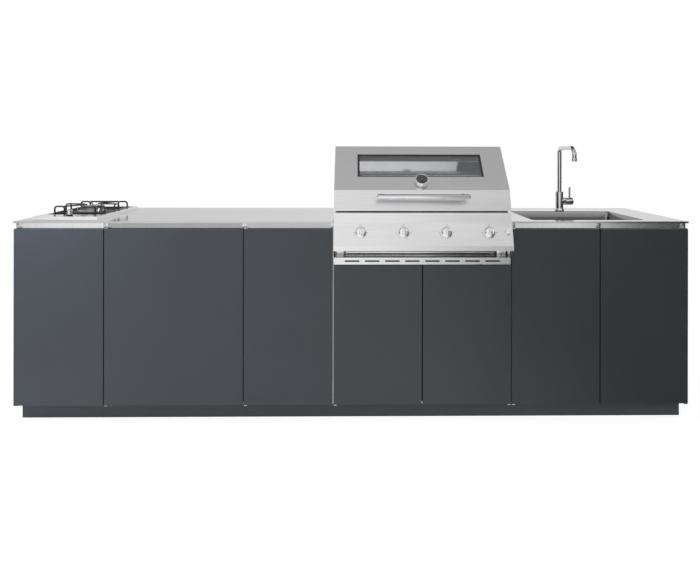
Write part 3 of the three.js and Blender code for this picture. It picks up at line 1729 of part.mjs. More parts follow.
function gaugeSolid() {
  const cup = turned([
    [0, -gaugeProbe],
    [gaugeStemRadius, -gaugeProbe],
    [gaugeStemRadius, seatGap],
    [gaugeFootRadius, seatGap],
    [gaugeFootRadius, gaugeFootHeight],
    [gaugeRadius, gaugeFootHeight + gaugeRimStep],
    [gaugeRadius, gaugeHeight - gaugeRimStep],
    [gaugeRadius - gaugeRimStep, gaugeHeight],
    [gaugeDialRadius, gaugeHeight],
    [gaugeDialRadius, gaugeHeight - gaugeDialDepth],
    [0, gaugeHeight - gaugeDialDepth],
  ]);
  const nutTop = -hoodSheet - seatGap;
  return joined(cup, rod(gaugeNutRadius, [0, 0, nutTop - gaugeNutHeight], [0, 0, nutTop]));
}

const gauge = piece("thermometer", gaugeSolid(), "chrome");
gauge.position.set(0, 0, gaugeShare * hoodSlope);
gauge.rotation.x = Math.PI / 2;
slopeGroup.add(gauge);

// Hood handle: a bar on two posts screwed to the lower face of the hood.
const handleLength = 411;
const handleRadius = 10;
const handleY = -50;
const handleZ = 115;
const handlePostInset = 22;
const handlePostRadius = 7;

function handleSolid() {
  const half = handleLength / 2;
  const frontRise = hoodCreaseZ - hoodLowZ;
  const surfaceY = hoodFrontY + ((hoodCreaseY - hoodFrontY) * (handleZ - hoodLowZ)) / frontRise;
  const bar = rod(handleRadius, [-half, handleY, handleZ], [half, handleY, handleZ], roundSides / 2);
  const tilt = (handlePostRadius * (hoodCreaseY - hoodFrontY)) / frontRise;
  const postEnd = surfaceY - tilt - seatGap;
  const posts = [-1, 1].map((side) => {
    const x = side * (half - handlePostInset);
    return rod(handlePostRadius, [x, handleY, handleZ], [x, postEnd, handleZ], roundSides / 2);
  });
  return joined(bar, posts);
}

grillGroup.add(piece("hood_handle", handleSolid(), "chrome"));

// Warming rack: close wires across two rails, on four legs that stand on the firebox tabs.
const rackWire = 2;
const rackRail = 3;
const rackHalf = 362;
const rackFrontY = 145;
const rackBackY = 275;
const rackZ = 196;
const rackPitch = 19;
const rackBend = 10;

function warmingRack() {
  const legX = fireboxHalf - rackTab / 2 - rackWire;
  const legZ = rackZ - rackWire;
  const footZ = rackTabZ + seatGap;
  const ys = [rackFrontY - rackRail, rackBackY + rackRail];
  const spaces = Math.round((2 * rackHalf) / rackPitch);
  const pitch = (2 * rackHalf) / spaces;
  const gaps = Array.from({ length: spaces - 1 }, (_, i) => {
    const left = (i - (spaces - 1) / 2) * pitch;
    const xs = [left + rackWire, left + pitch - rackWire];
    return slab(xs, drawnIn(ys, 2 * rackRail), about(rackZ, overrun));
  });
  const wires = cutBy(slab(about(0, rackHalf), ys, [rackZ - 2 * rackWire, rackZ]), gaps);
  const legs = [-1, 1].flatMap((side) =>
    [
      [rackFrontY, rackTabY - rackTabPitch],
      [rackBackY, rackTabY],
    ].map(([y, footY]) =>
      bentRod(
        rackRail,
        [
          [side * (rackHalf - rackRail), y, legZ],
          [side * legX, y, legZ],
          [side * legX, footY, rackTabZ + rackTab],
          [side * legX, footY, footZ],
        ],
        rackBend,
        wireSides / 2,
      ),
    ),
  );
  return joined(wires, legs);
}

grillGroup.add(piece("warming_rack", warmingRack(), "benchSteel"));

// The origin goes to the floor under the middle of the whole island's depth, between the hood
// handle or knobs in front and the bench's back edge.
const knobReach = (knobGripHeight + knobLift + bezelHeight) * Math.cos(panelLean);
const knobFrontY = panelFrontY + panelKnobRise * Math.sin(panelLean) - knobReach
  - gripHalfLength * Math.sin(panelLean);
const frontY = Math.min(knobFrontY, handleY - handleRadius, panelFrontY);
island.position.y = -(frontY + benchDepth) / 2;

const outdoorKitchen = new THREE.Group();
outdoorKitchen.add(island);

export default outdoorKitchen;
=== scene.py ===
import math

import bmesh
import bpy
from mathutils import Matrix, Vector


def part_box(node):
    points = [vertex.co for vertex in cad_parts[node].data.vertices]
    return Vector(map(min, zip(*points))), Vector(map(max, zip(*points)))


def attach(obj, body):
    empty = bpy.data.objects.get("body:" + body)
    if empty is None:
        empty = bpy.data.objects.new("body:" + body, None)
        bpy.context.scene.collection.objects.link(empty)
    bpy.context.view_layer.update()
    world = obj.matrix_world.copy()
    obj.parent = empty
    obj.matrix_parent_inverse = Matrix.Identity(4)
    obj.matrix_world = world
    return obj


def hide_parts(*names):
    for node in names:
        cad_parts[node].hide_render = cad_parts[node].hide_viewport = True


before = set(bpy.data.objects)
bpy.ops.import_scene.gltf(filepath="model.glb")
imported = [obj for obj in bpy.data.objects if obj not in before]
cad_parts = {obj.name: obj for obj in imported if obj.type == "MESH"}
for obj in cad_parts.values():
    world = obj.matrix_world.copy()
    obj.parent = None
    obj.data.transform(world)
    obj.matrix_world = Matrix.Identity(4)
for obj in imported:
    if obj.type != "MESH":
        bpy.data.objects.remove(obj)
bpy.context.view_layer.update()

# The view. A lens at standing height, square to the doors but for a slight turn to the right
# and a trace of roll, shifted down so that the uprights stay parallel.

eye = (0.006, -2.824, 1.218)
eye_roll, eye_turn = math.radians(-0.10), math.radians(-0.69)
lens_mm, film_mm = 29.33, 36
shift_right, shift_up = -0.0166, -0.1980

camera_data = bpy.data.cameras.new("view")
camera_data.lens, camera_data.sensor_width = lens_mm, film_mm
camera_data.shift_x, camera_data.shift_y = shift_right, shift_up
camera = bpy.data.objects.new("view", camera_data)
camera.location = eye
camera.rotation_euler = (math.pi / 2, eye_roll, eye_turn)
bpy.context.scene.collection.objects.link(camera)
bpy.context.scene.camera = camera

# Base rails: two zinc-plated box bars that carry the cabinets, each on a row of levelling feet
# screwed up into it. Their pads are moulded black nylon with a ribbed rim.

mm = 0.001
island_front = -0.274276
foot_places = (-1.440, -1.110, -0.490, -0.090, 0.710, 1.440)
foot_rows = {"foot_rail_front": island_front + 0.120, "foot_rail_rear": island_front + 0.505}
foot_radius, foot_height, foot_ribs = 23.2, 4.8, 18
nut_half, nut_height, nut_lift = 9.5, 5, 0.046


def node(tree, kind, sockets=None, **settings):
    made = tree.nodes.new("ShaderNode" + kind)
    for key, value in settings.items():
        setattr(made, key, value)
    for key, value in (sockets or {}).items():
        if isinstance(value, bpy.types.NodeSocket):
            tree.links.new(value, made.inputs[key])
        else:
            made.inputs[key].default_value = value
    return made


def coated(name, metallic=0.0, **sockets):
    material = bpy.data.materials.new(name)
    material.use_nodes = True
    tree = material.node_tree
    shader = tree.nodes["Principled BSDF"]
    shader.inputs["Metallic"].default_value = metallic
    for key, value in sockets.items():
        shader.inputs[key.replace("_", " ").title().replace("Ior", "IOR")].default_value = value
    return material, tree, shader, node(tree, "TexCoord").outputs["Object"]


def noise(tree, place, scale, detail=4.0, stretch=None):
    if stretch:
        place = node(tree, "Mapping", {"Vector": place, "Scale": stretch}).outputs["Vector"]
    sockets = {"Vector": place, "Scale": scale, "Detail": detail, "Roughness": 0.6}
    return node(tree, "TexNoise", sockets).outputs["Fac"]


def between(tree, factor, low, high):
    ramp = node(tree, "ValToRGB", {"Fac": factor})
    ramp.color_ramp.elements[0].position, ramp.color_ramp.elements[1].position = 0.33, 0.67
    ramp.color_ramp.elements[0].color, ramp.color_ramp.elements[1].color = low, high
    return ramp.outputs["Color"]


def spread(tree, factor, low, high):
    sockets = {"Value": factor, "From Min": 0.3, "From Max": 0.7, "To Min": low, "To Max": high}
    return node(tree, "MapRange", sockets).outputs["Result"]


def grey(level, blue=0.005):
    return (level, level, level + blue, 1)


def shade(colour, share):
    return tuple(min(1.0, channel * share) for channel in colour[:3]) + (1,)


def surface(tree, shader, colour, roughness, relief=None, depth=0.0):
    tree.links.new(colour, shader.inputs["Base Color"])
    tree.links.new(roughness, shader.inputs["Roughness"])
    if relief:
        raised = node(tree, "Bump", {"Height": relief, "Distance": depth, "Strength": 1.0})
        tree.links.new(raised.outputs["Normal"], shader.inputs["Normal"])


def finish(
    name, colour, tones, tone_grain, shine, shine_grain, relief_grain, relief, metallic=0.0, **sockets
):
    """Tone, shine and relief each follow a noise, given as its scale, detail and stretch."""
    material, tree, shader, place = coated(name, metallic, **sockets)
    grains = {grain: noise(tree, place, *grain) for grain in (tone_grain, shine_grain, relief_grain)}
    tone = between(tree, grains[tone_grain], shade(colour, tones[0]), shade(colour, tones[1]))
    surface(tree, shader, tone, spread(tree, grains[shine_grain], *shine), grains[relief_grain], relief)
    return material


def spangled(name, colour):
    material, tree, shader, place = coated(name, metallic=1.0)
    cells = node(tree, "TexVoronoi", {"Vector": place, "Scale": 160.0}).outputs["Color"]
    flake = node(tree, "SeparateColor", {"Color": cells}).outputs["Red"]
    tone = between(tree, flake, shade(colour, 0.82), shade(colour, 1.15))
    surface(tree, shader, tone, spread(tree, noise(tree, place, 30), 0.35, 0.55), flake, 0.00004)
    return material


def moulded(name, colour, roughness=0.5):
    blotch, shine = (14,), (roughness - 0.07, roughness + 0.09)
    return finish(name, colour, (0.88, 1.1), blotch, shine, blotch, (1600, 2), 0.00006)


def dress(name, material, edge=0.0005, rounds=2):
    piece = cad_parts[name]
    piece.material_slots[0].link = "OBJECT"
    piece.material_slots[0].material = material
    soft = piece.modifiers.new("rolled edges", "BEVEL")
    soft.width, soft.segments = edge, rounds
    soft.limit_method, soft.angle_limit = "ANGLE", math.radians(50)
    soft.use_clamp_overlap = False
    soft.harden_normals = True


def make(name, mesh, material, body, slot_name, *replaced, smooth=35):
    bmesh.ops.recalc_face_normals(mesh, faces=mesh.faces)
    data = bpy.data.meshes.new(name)
    mesh.to_mesh(data)
    mesh.free()
    data.polygons.foreach_set("use_smooth", [True] * len(data.polygons))
    data.set_sharp_from_angle(angle=math.radians(smooth))
    data.materials.append(material)
    piece = bpy.data.objects.new(name, data)
    bpy.context.scene.collection.objects.link(piece)
    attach(piece, body)
    if replaced:
        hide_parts(*replaced)
    return piece


def circle(count):
    return [2 * math.pi * i / count for i in range(count)]


def lathe(mesh, profile, sides=48, at=(0, 0, 0), turn=None):
    """Turns points of (radius, height), in millimetres, about +Z and caps an end that misses the axis."""
    place = Matrix.Translation(at) @ (turn.to_4x4() if turn else Matrix())
    rings = []
    for radius, height in profile:
        spokes = circle(sides) if radius else [0]
        points = [(radius * math.cos(a) * mm, radius * math.sin(a) * mm, height * mm) for a in spokes]
        ring = [mesh.verts.new(place @ Vector(point)) for point in points]
        rings.append(ring if radius else ring * sides)
    for low, high in zip(rings, rings[1:]):
        for i in range(sides):
            k = (i + 1) % sides
            corners = list(dict.fromkeys((low[i], low[k], high[k], high[i])))
            if len(corners) > 2:
                mesh.faces.new(corners)
    for end in (0, -1):
        if profile[end][0]:
            mesh.faces.new(rings[end])
    return mesh


zinc = spangled("zinc plate", (0.42, 0.43, 0.45, 1))
foot_nylon = moulded("foot nylon", grey(0.018, 0.002), 0.6)
for rail, row in foot_rows.items():
    dress(rail, zinc, 0.0006)
    pads, nuts = bmesh.new(), bmesh.new()
    for x in foot_places:
        lathe(pads, [(0, 0), (19, 0), (foot_radius, 1.2), (foot_radius, foot_height),
                     (21.5, foot_height + 0.8), (0, foot_height + 0.8)], 36, (x, row, 0))
        for a in circle(foot_ribs):
            spot = (x + foot_radius * mm * math.cos(a), row + foot_radius * mm * math.sin(a), 0.001)
            lathe(pads, [(1.1, 0), (1.1, foot_height - 1.2)], 8, spot)
        lathe(nuts, [(6.3, 0), (nut_half, 0.6), (nut_half, nut_height), (6.3, nut_height + 0.4)], 6,
              (x, row, nut_lift))
    make(rail.replace("rail", "pads"), pads, foot_nylon, "island", "white_plastic")
    make(rail.replace("rail", "nuts"), nuts, zinc, "island", "cabinet_steel", smooth=20)

# Cabinet carcasses: folded satin stainless, welded at the seams. The outer corners above the
# doors show as bright upright posts, each held to its rail by a pair of dome rivets.

cabinet_grey = grey(0.77)
# Painted reflection: each cabinet gets a lighter or darker copy of the one stainless for its rail.
painted_reflection_shares = {"hob": 1.0, "wide": 0.50, "store": 0.64, "grill": 0.8, "sink": 1.0}
recess_low, recess_high = 0.8738, 0.9028
post_lefts = (-1.5062, -1.1200, -0.5000, -0.1013, 0.7108, 1.1000, 1.4852)
post_width, end_post_width, post_proud = 0.021, 0.02352, 0.0010
rivet_heights = (0.880, 0.8965)


def maths(tree, operation, first, second=0.5, **settings):
    return node(tree, "Math", {0: first, 1: second}, operation=operation, **settings).outputs[0]


def brushed(name, colour, roughness, along=0, lines=700.0, relief=0.00003):
    """Metal with a drawn grain along one axis, and grain along Y on faces that meet that axis."""
    material, tree, shader, place = coated(name, metallic=1.0, anisotropic=0.45)
    stretch, turned = [lines] * 3, [lines] * 3
    stretch[along] = turned[1] = lines / 160
    facing = node(tree, "TexCoord").outputs["Normal"]
    part = node(tree, "SeparateXYZ", {"Vector": facing}).outputs["XYZ"[along]]
    square = maths(tree, "GREATER_THAN", maths(tree, "ABSOLUTE", part), 0.7)
    plain, crossed = noise(tree, place, 1.0, 5, stretch), noise(tree, place, 1.0, 5, turned)
    grain = node(tree, "Mix", {"Factor": square, "A": plain, "B": crossed}).outputs["Result"]
    streak = maths(tree, "ADD", maths(tree, "MULTIPLY", grain, 0.72), noise(tree, place, 3.2, 3))
    tone = between(tree, grain, shade(colour, 0.93), shade(colour, 1.05))
    surface(tree, shader, tone, spread(tree, streak, roughness * 0.8, roughness * 1.25), grain, relief)
    return material


def slab(mesh, low, high, ease=0.0, at=(0, 0, 0), turn=None):
    """A cuboid between two corners, its edges eased and the whole turned and moved if asked."""
    made = bmesh.ops.create_cube(mesh, size=1.0)["verts"]
    for vert in made:
        corner = Vector([low[k] if vert.co[k] < 0 else high[k] for k in range(3)])
        vert.co = Vector(at) + (turn @ corner if turn else corner)
    if ease:
        edges = list(dict.fromkeys(edge for vert in made for edge in vert.link_edges))
        bmesh.ops.bevel(mesh, geom=edges, offset=ease, segments=2, profile=0.5, affect="EDGES")
    return mesh


cabinet_satin = brushed("satin cabinet sheet", cabinet_grey, 0.15, along=2)
# Lit and shaded copies of one sheet, one for each cabinet: painted reflection, not different steel.
for cabinet, share in painted_reflection_shares.items():
    sheet = brushed(cabinet + " cabinet sheet", shade(cabinet_grey, share), 0.13, along=2, relief=0.000008)
    dress("carcass_" + cabinet, sheet, 0.0004)
facing_front = Matrix.Rotation(math.pi / 2, 3, "X")
carcass_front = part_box("end_panel_left")[0].y - 0.0003
post_front = carcass_front - post_proud
bright_post = brushed("polished corner post", grey(0.66, 0.01), 0.2, along=2)
posts = bmesh.new()
for left in post_lefts:
    width = post_width if left > -1.5 else end_post_width
    slab(posts, (left, post_front, recess_low), (left + width, carcass_front + 0.0002, recess_high), 0.0003)
    for height in rivet_heights:
        lathe(posts, [(0, -0.2), (3.2, -0.2), (3.2, 0.36), (2.304, 0.96), (0, 1.2)], 16,
              (left + width / 2, post_front, height), facing_front)
make("corner_posts", posts, bright_post, "island", "cabinet_steel")

# Store shelf: thin folded stainless on four dowel pegs, with a turned-down front lip. It has the
# satin finish of the cabinets and lifts out past the open door.

dress("shelf_store", cabinet_satin, 0.0004)

# End and rear panels and the plinth: folded steel in a fine-texture charcoal powder coat, held
# on from inside, so that only the plinth shows screws, two above each other at four places.

charcoal = (0.036, 0.040, 0.046, 1)
coated_panels = ("end_panel_left", "end_panel_right", "rear_panel_left", "rear_panel_right",
                 "kickboard_front", "kickboard_rear", "kickboard_left", "kickboard_right")
plinth_screw_places, plinth_screw_heights = (-1.46, -0.49, 0.71, 1.46), (0.022, 0.070)


def powder_coat(name, colour, roughness=0.46):
    material, tree, shader, place = coated(
        name, specular_ior_level=0.42, coat_weight=0.05, coat_roughness=0.25)
    cloud, texture = noise(tree, place, 1.7, 3), noise(tree, place, 950, 3)
    scuff = noise(tree, place, 1.0, 6, (26, 26, 4))
    tone = between(tree, cloud, shade(colour, 0.94), shade(colour, 1.07))
    shine = maths(tree, "ADD", spread(tree, scuff, -0.025, 0.03), roughness)
    surface(tree, shader, tone, shine, texture, 0.00009)
    return material


panel_coat = powder_coat("charcoal powder coat", charcoal)
for panel in coated_panels:
    dress(panel, panel_coat, 0.0007)
plinth_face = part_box("kickboard_front")[0].y
screws = bmesh.new()
for x in plinth_screw_places:
    for z in plinth_screw_heights:
        lathe(screws, [(0, -1), (4.2, -1), (4.2, 0.3), (3.5, 0.7), (1.2, 0.7), (0, 0.1)], 20,
              (x, plinth_face, z), facing_front)
screw_black = moulded("blackened screws", grey(0.020, 0.002), 0.4)
make("plinth_screws", screws, screw_black, "island", "cabinet_steel")

# Doors: folded pans in the same coat, a satin sheen smoother than the panels. Each turns on pins
# in nylon blocks, and carries two rubber bumpers and a hat-shaped stiffener inside.

door_names = ("hob", "wide", "store", "grill_left", "grill_right", "sink_left", "sink_right")
doors_left_opening = ("grill_right", "sink_right")
door_edge, door_sheet, door_foot, door_top, grill_door_top = 0.0011, 0.0012, 0.086, 0.870, 0.709
hat_half, hat_depth, hat_brim, hat_slope, hat_sheet = 0.030, 0.0085, 0.016, 0.008, 0.001
hat_short, bumper_short, bumper_inset = 0.016, 0.010, 0.012


def stacked(mesh, rings, ends="capped"):
    """Skins equal rings of points in order; the two ends are capped, looped together or left open."""
    loops = [[mesh.verts.new(point) for point in ring] for ring in rings]
    count = len(loops[0])
    following = loops[1:] + (loops[:1] if ends == "looped" else [])
    for low, high in zip(loops, following):
        for i in range(count):
            k = (i + 1) % count
            mesh.faces.new((low[i], low[k], high[k], high[i]))
    if ends == "capped":
        mesh.faces.new(loops[0])
        mesh.faces.new(loops[-1])
    return loops


door_coat = powder_coat("door powder coat", charcoal, 0.40)
bumper_rubber = moulded("bumper rubber", grey(0.012, 0.001), 0.75)
facing_back = Matrix.Rotation(-math.pi / 2, 3, "X")
hat_half_section = [(hat_half - hat_slope, hat_depth), (hat_half, 0), (hat_half + hat_brim, 0)]
hat_section = [(-x, y) for x, y in reversed(hat_half_section)] + hat_half_section
hat_outline = hat_section + [(x, y + hat_sheet) for x, y in reversed(hat_section)]
for name in door_names:
    door = "door_" + name
    dress(door, door_coat, door_edge, 3)
    low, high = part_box(door)
    high_z = grill_door_top if "grill" in name else door_top
    middle, pan_inside = (low.x + high.x) / 2, low.y + door_sheet + 0.0002
    hat_ends = (door_foot + hat_short, high_z - hat_short)
    stiffener = bmesh.new()
    rings = [[(middle + x, pan_inside + y, z) for x, y in hat_outline] for z in hat_ends]
    for ring in stacked(stiffener, rings, "open"):
        for k in range(len(hat_section) - 1):
            stiffener.faces.new((ring[k], ring[k + 1], ring[-2 - k], ring[-1 - k]))
    make(door + "_stiffener", stiffener, door_coat, door, "charcoal_coat", smooth=20)
    free_edge = low.x + bumper_inset if name in doors_left_opening else high.x - bumper_inset
    bumpers = bmesh.new()
    for z in (door_foot + bumper_short, high_z - bumper_short):
        lathe(bumpers, [(0, -0.3), (4.5, -0.3), (4.5, 1.1), (3.15, 2.2), (0, 2.2)], 20,
              (free_edge, high.y, z), facing_back)
    make(door + "_bumpers", bumpers, bumper_rubber, door, "enamel")

# Vent strip: a bright brushed channel over the grill doors, with eight pressed slots, each backed
# by a near-black sheet of painted shadow, and the upper pivot of each grill door in its lower fold.

slot_count, slot_pitch, shadow_half, shadow_sheet = 8, 0.090, 0.0375, 0.0008
shadow_low, shadow_high = 0.7235, 0.7325
vent_steel = brushed("vent strip steel", grey(0.76), 0.20)
# Near-black behind the slots: painted shadow of the cabinet's dark inside.
slot_painted_shadow = moulded("slot painted shadow", grey(0.003, 0), 0.8)
dress("vent_strip", vent_steel, 0.0005)
vent_low, vent_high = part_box("vent_strip")
vent_middle, shadow_front = (vent_low.x + vent_high.x) / 2, vent_low.y + 0.0018
slot_shadows = bmesh.new()
for i in range(slot_count):
    x = vent_middle + (i - (slot_count - 1) / 2) * slot_pitch
    slab(slot_shadows, (x - shadow_half, shadow_front, shadow_low),
         (x + shadow_half, shadow_front + shadow_sheet, shadow_high), 0.0002)
make("vent_slot_shadows", slot_shadows, slot_painted_shadow, "island", "cabinet_steel")

# Benches: two long stainless sheets and a strip behind the grill, fine brushed along their
# length, with turned-down edges, screwed to the cabinets from below.

fine_lines = 820
bench_steel = brushed("bench steel", grey(0.55), 0.11, lines=fine_lines)
for bench in ("bench_left", "bench_right", "bench_rear_strip"):
    dress(bench, bench_steel, 0.0007)

# Hob: a pressed stainless tray raised above the bench. Its deep dish carries a black enamel
# liner with a spill ring round the burner, and a thin silicone seal lies under the rim.

bench_top = 0.905
dish_side, dish_front, dish_depth, liner_gap = 0.020, 0.088, 0.003, 0.0004
liner_corner, seal_corner, burner_from_front = 0.011, 0.004, 0.278
liner_rings = [(0, 0, 0), (0, 0, 1.44), (0.006, 82, 2.4), (0.025, 82, 2.28), (0.045, 82, 1.08),
               (0.90, 82, 0.96), (0.965, 82, 1.56), (1, 82, 2.68), (1, 79, 2.68), (1, 74, 0.96),
               (1, 48.5, 0.96), (1, 47.5, 0.48), (1, 47.5, 0)]
seal_section = [(3.0, 0.1), (1.8, 0.6), (1.8, 1.2), (4.5, 1.2), (4.5, 0.1)]


def enamelled(name, colour, roughness=0.16, sheen=0.5, glaze=0.35):
    speck, flow, shine = (2600, 1), (60, 3), (roughness - 0.04, roughness + 0.1)
    return finish(name, colour, (0.8, 1.6), speck, shine, flow, flow, 0.00012,
                  specular_ior_level=sheen, coat_weight=glaze, coat_roughness=0.08)


def round_plan(half_x, half_y, radius, steps=8):
    """A rectangle about the origin with its corners rounded."""
    plan = []
    for quarter, (sx, sy) in enumerate(((1, 1), (-1, 1), (-1, -1), (1, -1))):
        for step in range(steps + 1):
            a = (quarter + step / steps) * math.pi / 2
            x, y = sx * (half_x - radius), sy * (half_y - radius)
            plan.append((x + radius * math.cos(a), y + radius * math.sin(a)))
    return plan


hob_low, hob_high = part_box("hob_tray")
hob_x, hob_y = (hob_low.x + hob_high.x) / 2, (hob_low.y + hob_high.y) / 2
hob_half_x, hob_half_y = (hob_high.x - hob_low.x) / 2, (hob_high.y - hob_low.y) / 2
dish_low, dish_high = hob_low.y + dish_front + liner_gap, hob_high.y - dish_side - liner_gap
dish_y, dish_floor = (dish_low + dish_high) / 2, hob_high.z - dish_depth + 0.0001
burner_y = hob_low.y + burner_from_front
liner_plan = round_plan(hob_half_x - dish_side - liner_gap, (dish_high - dish_low) / 2, liner_corner)


def liner_ring(share, radius, height):
    """A ring part of the way from the liner's plan to a circle round the burner, in millimetres."""
    ring = []
    for x, y in liner_plan:
        px, py = hob_x + x, dish_y + y
        a = math.atan2(py - burner_y, px - hob_x)
        cx, cy = hob_x + radius * mm * math.cos(a), burner_y + radius * mm * math.sin(a)
        ring.append((px + (cx - px) * share, py + (cy - py) * share, dish_floor + height * mm))
    return ring


def seal_ring(inset, height):
    plan = round_plan(hob_half_x - inset * mm, hob_half_y - inset * mm, seal_corner, 4)
    return [(hob_x + x, hob_y + y, bench_top + height * mm) for x, y in plan]


hob_steel = brushed("hob steel", grey(0.86), 0.16, lines=fine_lines)
dress("hob_tray", hob_steel, 0.0016, 3)
black_enamel = enamelled("black enamel", grey(0.0085, 0.001))
liner_enamel = enamelled("liner enamel", grey(0.006, 0.0005), 0.5, 0.12, 0.0)
liner = bmesh.new()
stacked(liner, [liner_ring(*ring) for ring in liner_rings], "looped")
make("hob_liner", liner, liner_enamel, "island", "enamel", smooth=50)
seal_rubber = moulded("silicone seal", grey(0.05, 0), 0.6)
seal = bmesh.new()
stacked(seal, [seal_ring(*ring) for ring in seal_section], "looped")
make("hob_seal", seal, seal_rubber, "island", "enamel")

# Hob valve and knob: a machined brass valve under the deck, and a satin silver knob with a
# waist round its grip and a black line on its top, on a black skirt ring.

def machined(name, colour, roughness=0.25):
    ridges, cloud, shine = (1.0, 3, (90, 90, 2400)), (22, 3), (roughness - 0.05, roughness + 0.1)
    return finish(name, colour, (0.88, 1.08), cloud, shine, ridges, ridges, 0.00002, 1.0)


def polished(name, colour=grey(0.83, 0.01), roughness=0.045):
    smear, shine = (38, 4), (roughness * 0.6, roughness * 2.2)
    return finish(name, colour, (0.97, 1.02), smear, shine, smear, smear, 0.00001, 1.0)


valve_brass = machined("valve brass", (0.62, 0.44, 0.17, 1))
chrome = polished("bright chrome")
satin_chrome = polished("satin chrome", grey(0.80, 0.01), 0.16)
knob_black = moulded("knob skirt", grey(0.010, 0.001), 0.35)
dress("hob_valve", valve_brass, 0.0004)
knob_low, knob_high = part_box("hob_knob")
knob_at = ((knob_low.x + knob_high.x) / 2, (knob_low.y + knob_high.y) / 2, knob_low.z)
tall = (knob_high.z - knob_low.z) / mm
knob = lathe(bmesh.new(), [
    (0, 3.5), (12, 3.5), (12.4, 4.2), (12.2, 10), (11.9, 11), (11.9, 13), (12.2, 14), (12.1, tall - 2.6),
    (11.4, tall - 0.8), (10, tall), (0, tall)], 64, knob_at)
make("hob_knob_grip", knob, satin_chrome, "hob_knob", "chrome_parts", "hob_knob", smooth=40)
skirt = lathe(bmesh.new(), [
    (0, 0), (13.2, 0), (13.8, 0.8), (13.8, 3), (13, 4), (11.8, 4.2), (0, 4.2)], 64, knob_at)
make("hob_knob_skirt", skirt, knob_black, "hob_knob", "enamel")
mark = slab(bmesh.new(), (-0.0006, -0.010, tall * mm - 0.0003), (0.0006, -0.003, tall * mm), at=knob_at)
make("hob_knob_mark", mark, knob_black, "hob_knob", "enamel")

# Hob burner: a cast aluminium head with a slotted crown on a steel flange, under a loose black
# enamel cap, with a white ceramic spark plug and a thin flame sensor at its side.

crown_ports, port_share, crown_in, crown_out, crown_low, crown_high = 48, 0.64, 47, 56, 51.9, 58.8
plug_side, plug_front = 0.052, 0.048


def cast(name, colour, roughness, metallic, relief=0.00035):
    wash, shine = (9, 4), (roughness - 0.08, roughness + 0.12)
    return finish(name, colour, (0.78, 1.22), wash, shine, wash, (420, 6), relief, metallic)


burner_alloy = cast("burner alloy", grey(0.74, 0.01), 0.42, 1.0, relief=0.00012)
burner_at = Vector((hob_x, burner_y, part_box("hob_burner")[0].z))
head = lathe(bmesh.new(), [
    (0, 0), (44.5, 0), (45, 0.5), (45, 38), (65, 38), (66, 39), (65.5, 40.8), (60, 42), (57, 44.2),
    (56, 45.5), (56, 52)], 96, burner_at)
for port in range(crown_ports):
    first, last = (2 * math.pi * (port + 0.5 + side * port_share / 2) / crown_ports for side in (-1, 1))
    corners = ((crown_in, first), (crown_out, first), (crown_out, last), (crown_in, last))
    plan = [(radius * math.cos(a), radius * math.sin(a)) for radius, a in corners]
    stacked(head, [[burner_at + Vector((x, y, z)) * mm for x, y in plan] for z in (crown_low, crown_high)])
make("hob_burner_head", head, burner_alloy, "island", "cabinet_steel", "hob_burner", smooth=30)
cap_low, cap_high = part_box("hob_burner_cap")
tall = (cap_high.z - cap_low.z) / mm
cap = lathe(bmesh.new(), [
    (0, 0), (46, 0), (46.5, 0.5), (46.5, 3.8), (52, 3.8), (53.7, 4.6), (54, 6.2), (53.2, 8.2), (50.5, 9.7),
    (47, 10.2), (44, 10), (43, 9.6), (42, 10), (30, tall - 0.2), (0, tall)], 96, (hob_x, burner_y, cap_low.z))
make("hob_burner_lid", cap, black_enamel, "island", "enamel", "hob_burner_cap", smooth=45)
ceramic = moulded("spark plug ceramic", (0.72, 0.71, 0.68, 1), 0.25)
plug = lathe(bmesh.new(), [
    (0, 0), (4.2, 0), (4.5, 0.6), (4.5, 8), (3.4, 10), (3, 16.5), (2.2, 17.5), (0, 17.8)], 24,
    (hob_x + plug_side, burner_y - plug_front, dish_floor + 0.001))
make("hob_spark_plug", plug, ceramic, "island", "white_plastic")
sensor = lathe(bmesh.new(), [(0, 0), (4.2, 0), (4.2, 4), (1.7, 5), (1.7, 21), (1, 22), (0, 22)], 16,
               (hob_x - plug_side, burner_y - plug_front, dish_floor + 0.001))
make("hob_flame_sensor", sensor, burner_alloy, "island", "cabinet_steel")

# Pan support: one loose piece of black enamelled wire. Loops stand on a square of base wires, one
# at each corner and side with the back two joined in a hoop, and their fingers aim at the burner.

support_wire, finger_wire, support_bend, base_bend = 0.0040, 0.0034, 0.012, 0.004
corner_loop, side_loop, corner_finger, side_finger = 0.046, 0.050, 0.120, 0.080


def rounded(points, bend, steps=8, closed=False):
    """A line of points with each corner turned into an arc of the given bend radius."""
    points = [Vector(p) for p in points]
    count = len(points)
    bends = bend if isinstance(bend, list) else [bend] * count
    path = []
    for i, corner in enumerate(points):
        if not closed and i in (0, count - 1):
            path.append(corner)
            continue
        into, away = points[i - 1] - corner, points[(i + 1) % count] - corner
        reach_in = into.length * (1.0 if i == 1 and not closed else 0.5)
        reach_out = away.length * (1.0 if i == count - 2 and not closed else 0.5)
        into.normalize()
        away.normalize()
        half = into.angle(away) / 2
        cut = min(bends[i] / math.tan(half), reach_in * 0.98, reach_out * 0.98)
        centre = corner + (into + away).normalized() * (cut * math.tan(half) / math.sin(half))
        start, stop = corner + into * cut - centre, corner + away * cut - centre
        turn = start.angle(stop)
        for share in (step / steps for step in range(steps + 1)):
            spoke = start * math.sin((1 - share) * turn) + stop * math.sin(share * turn)
            path.append(centre + spoke / math.sin(turn))
    return path


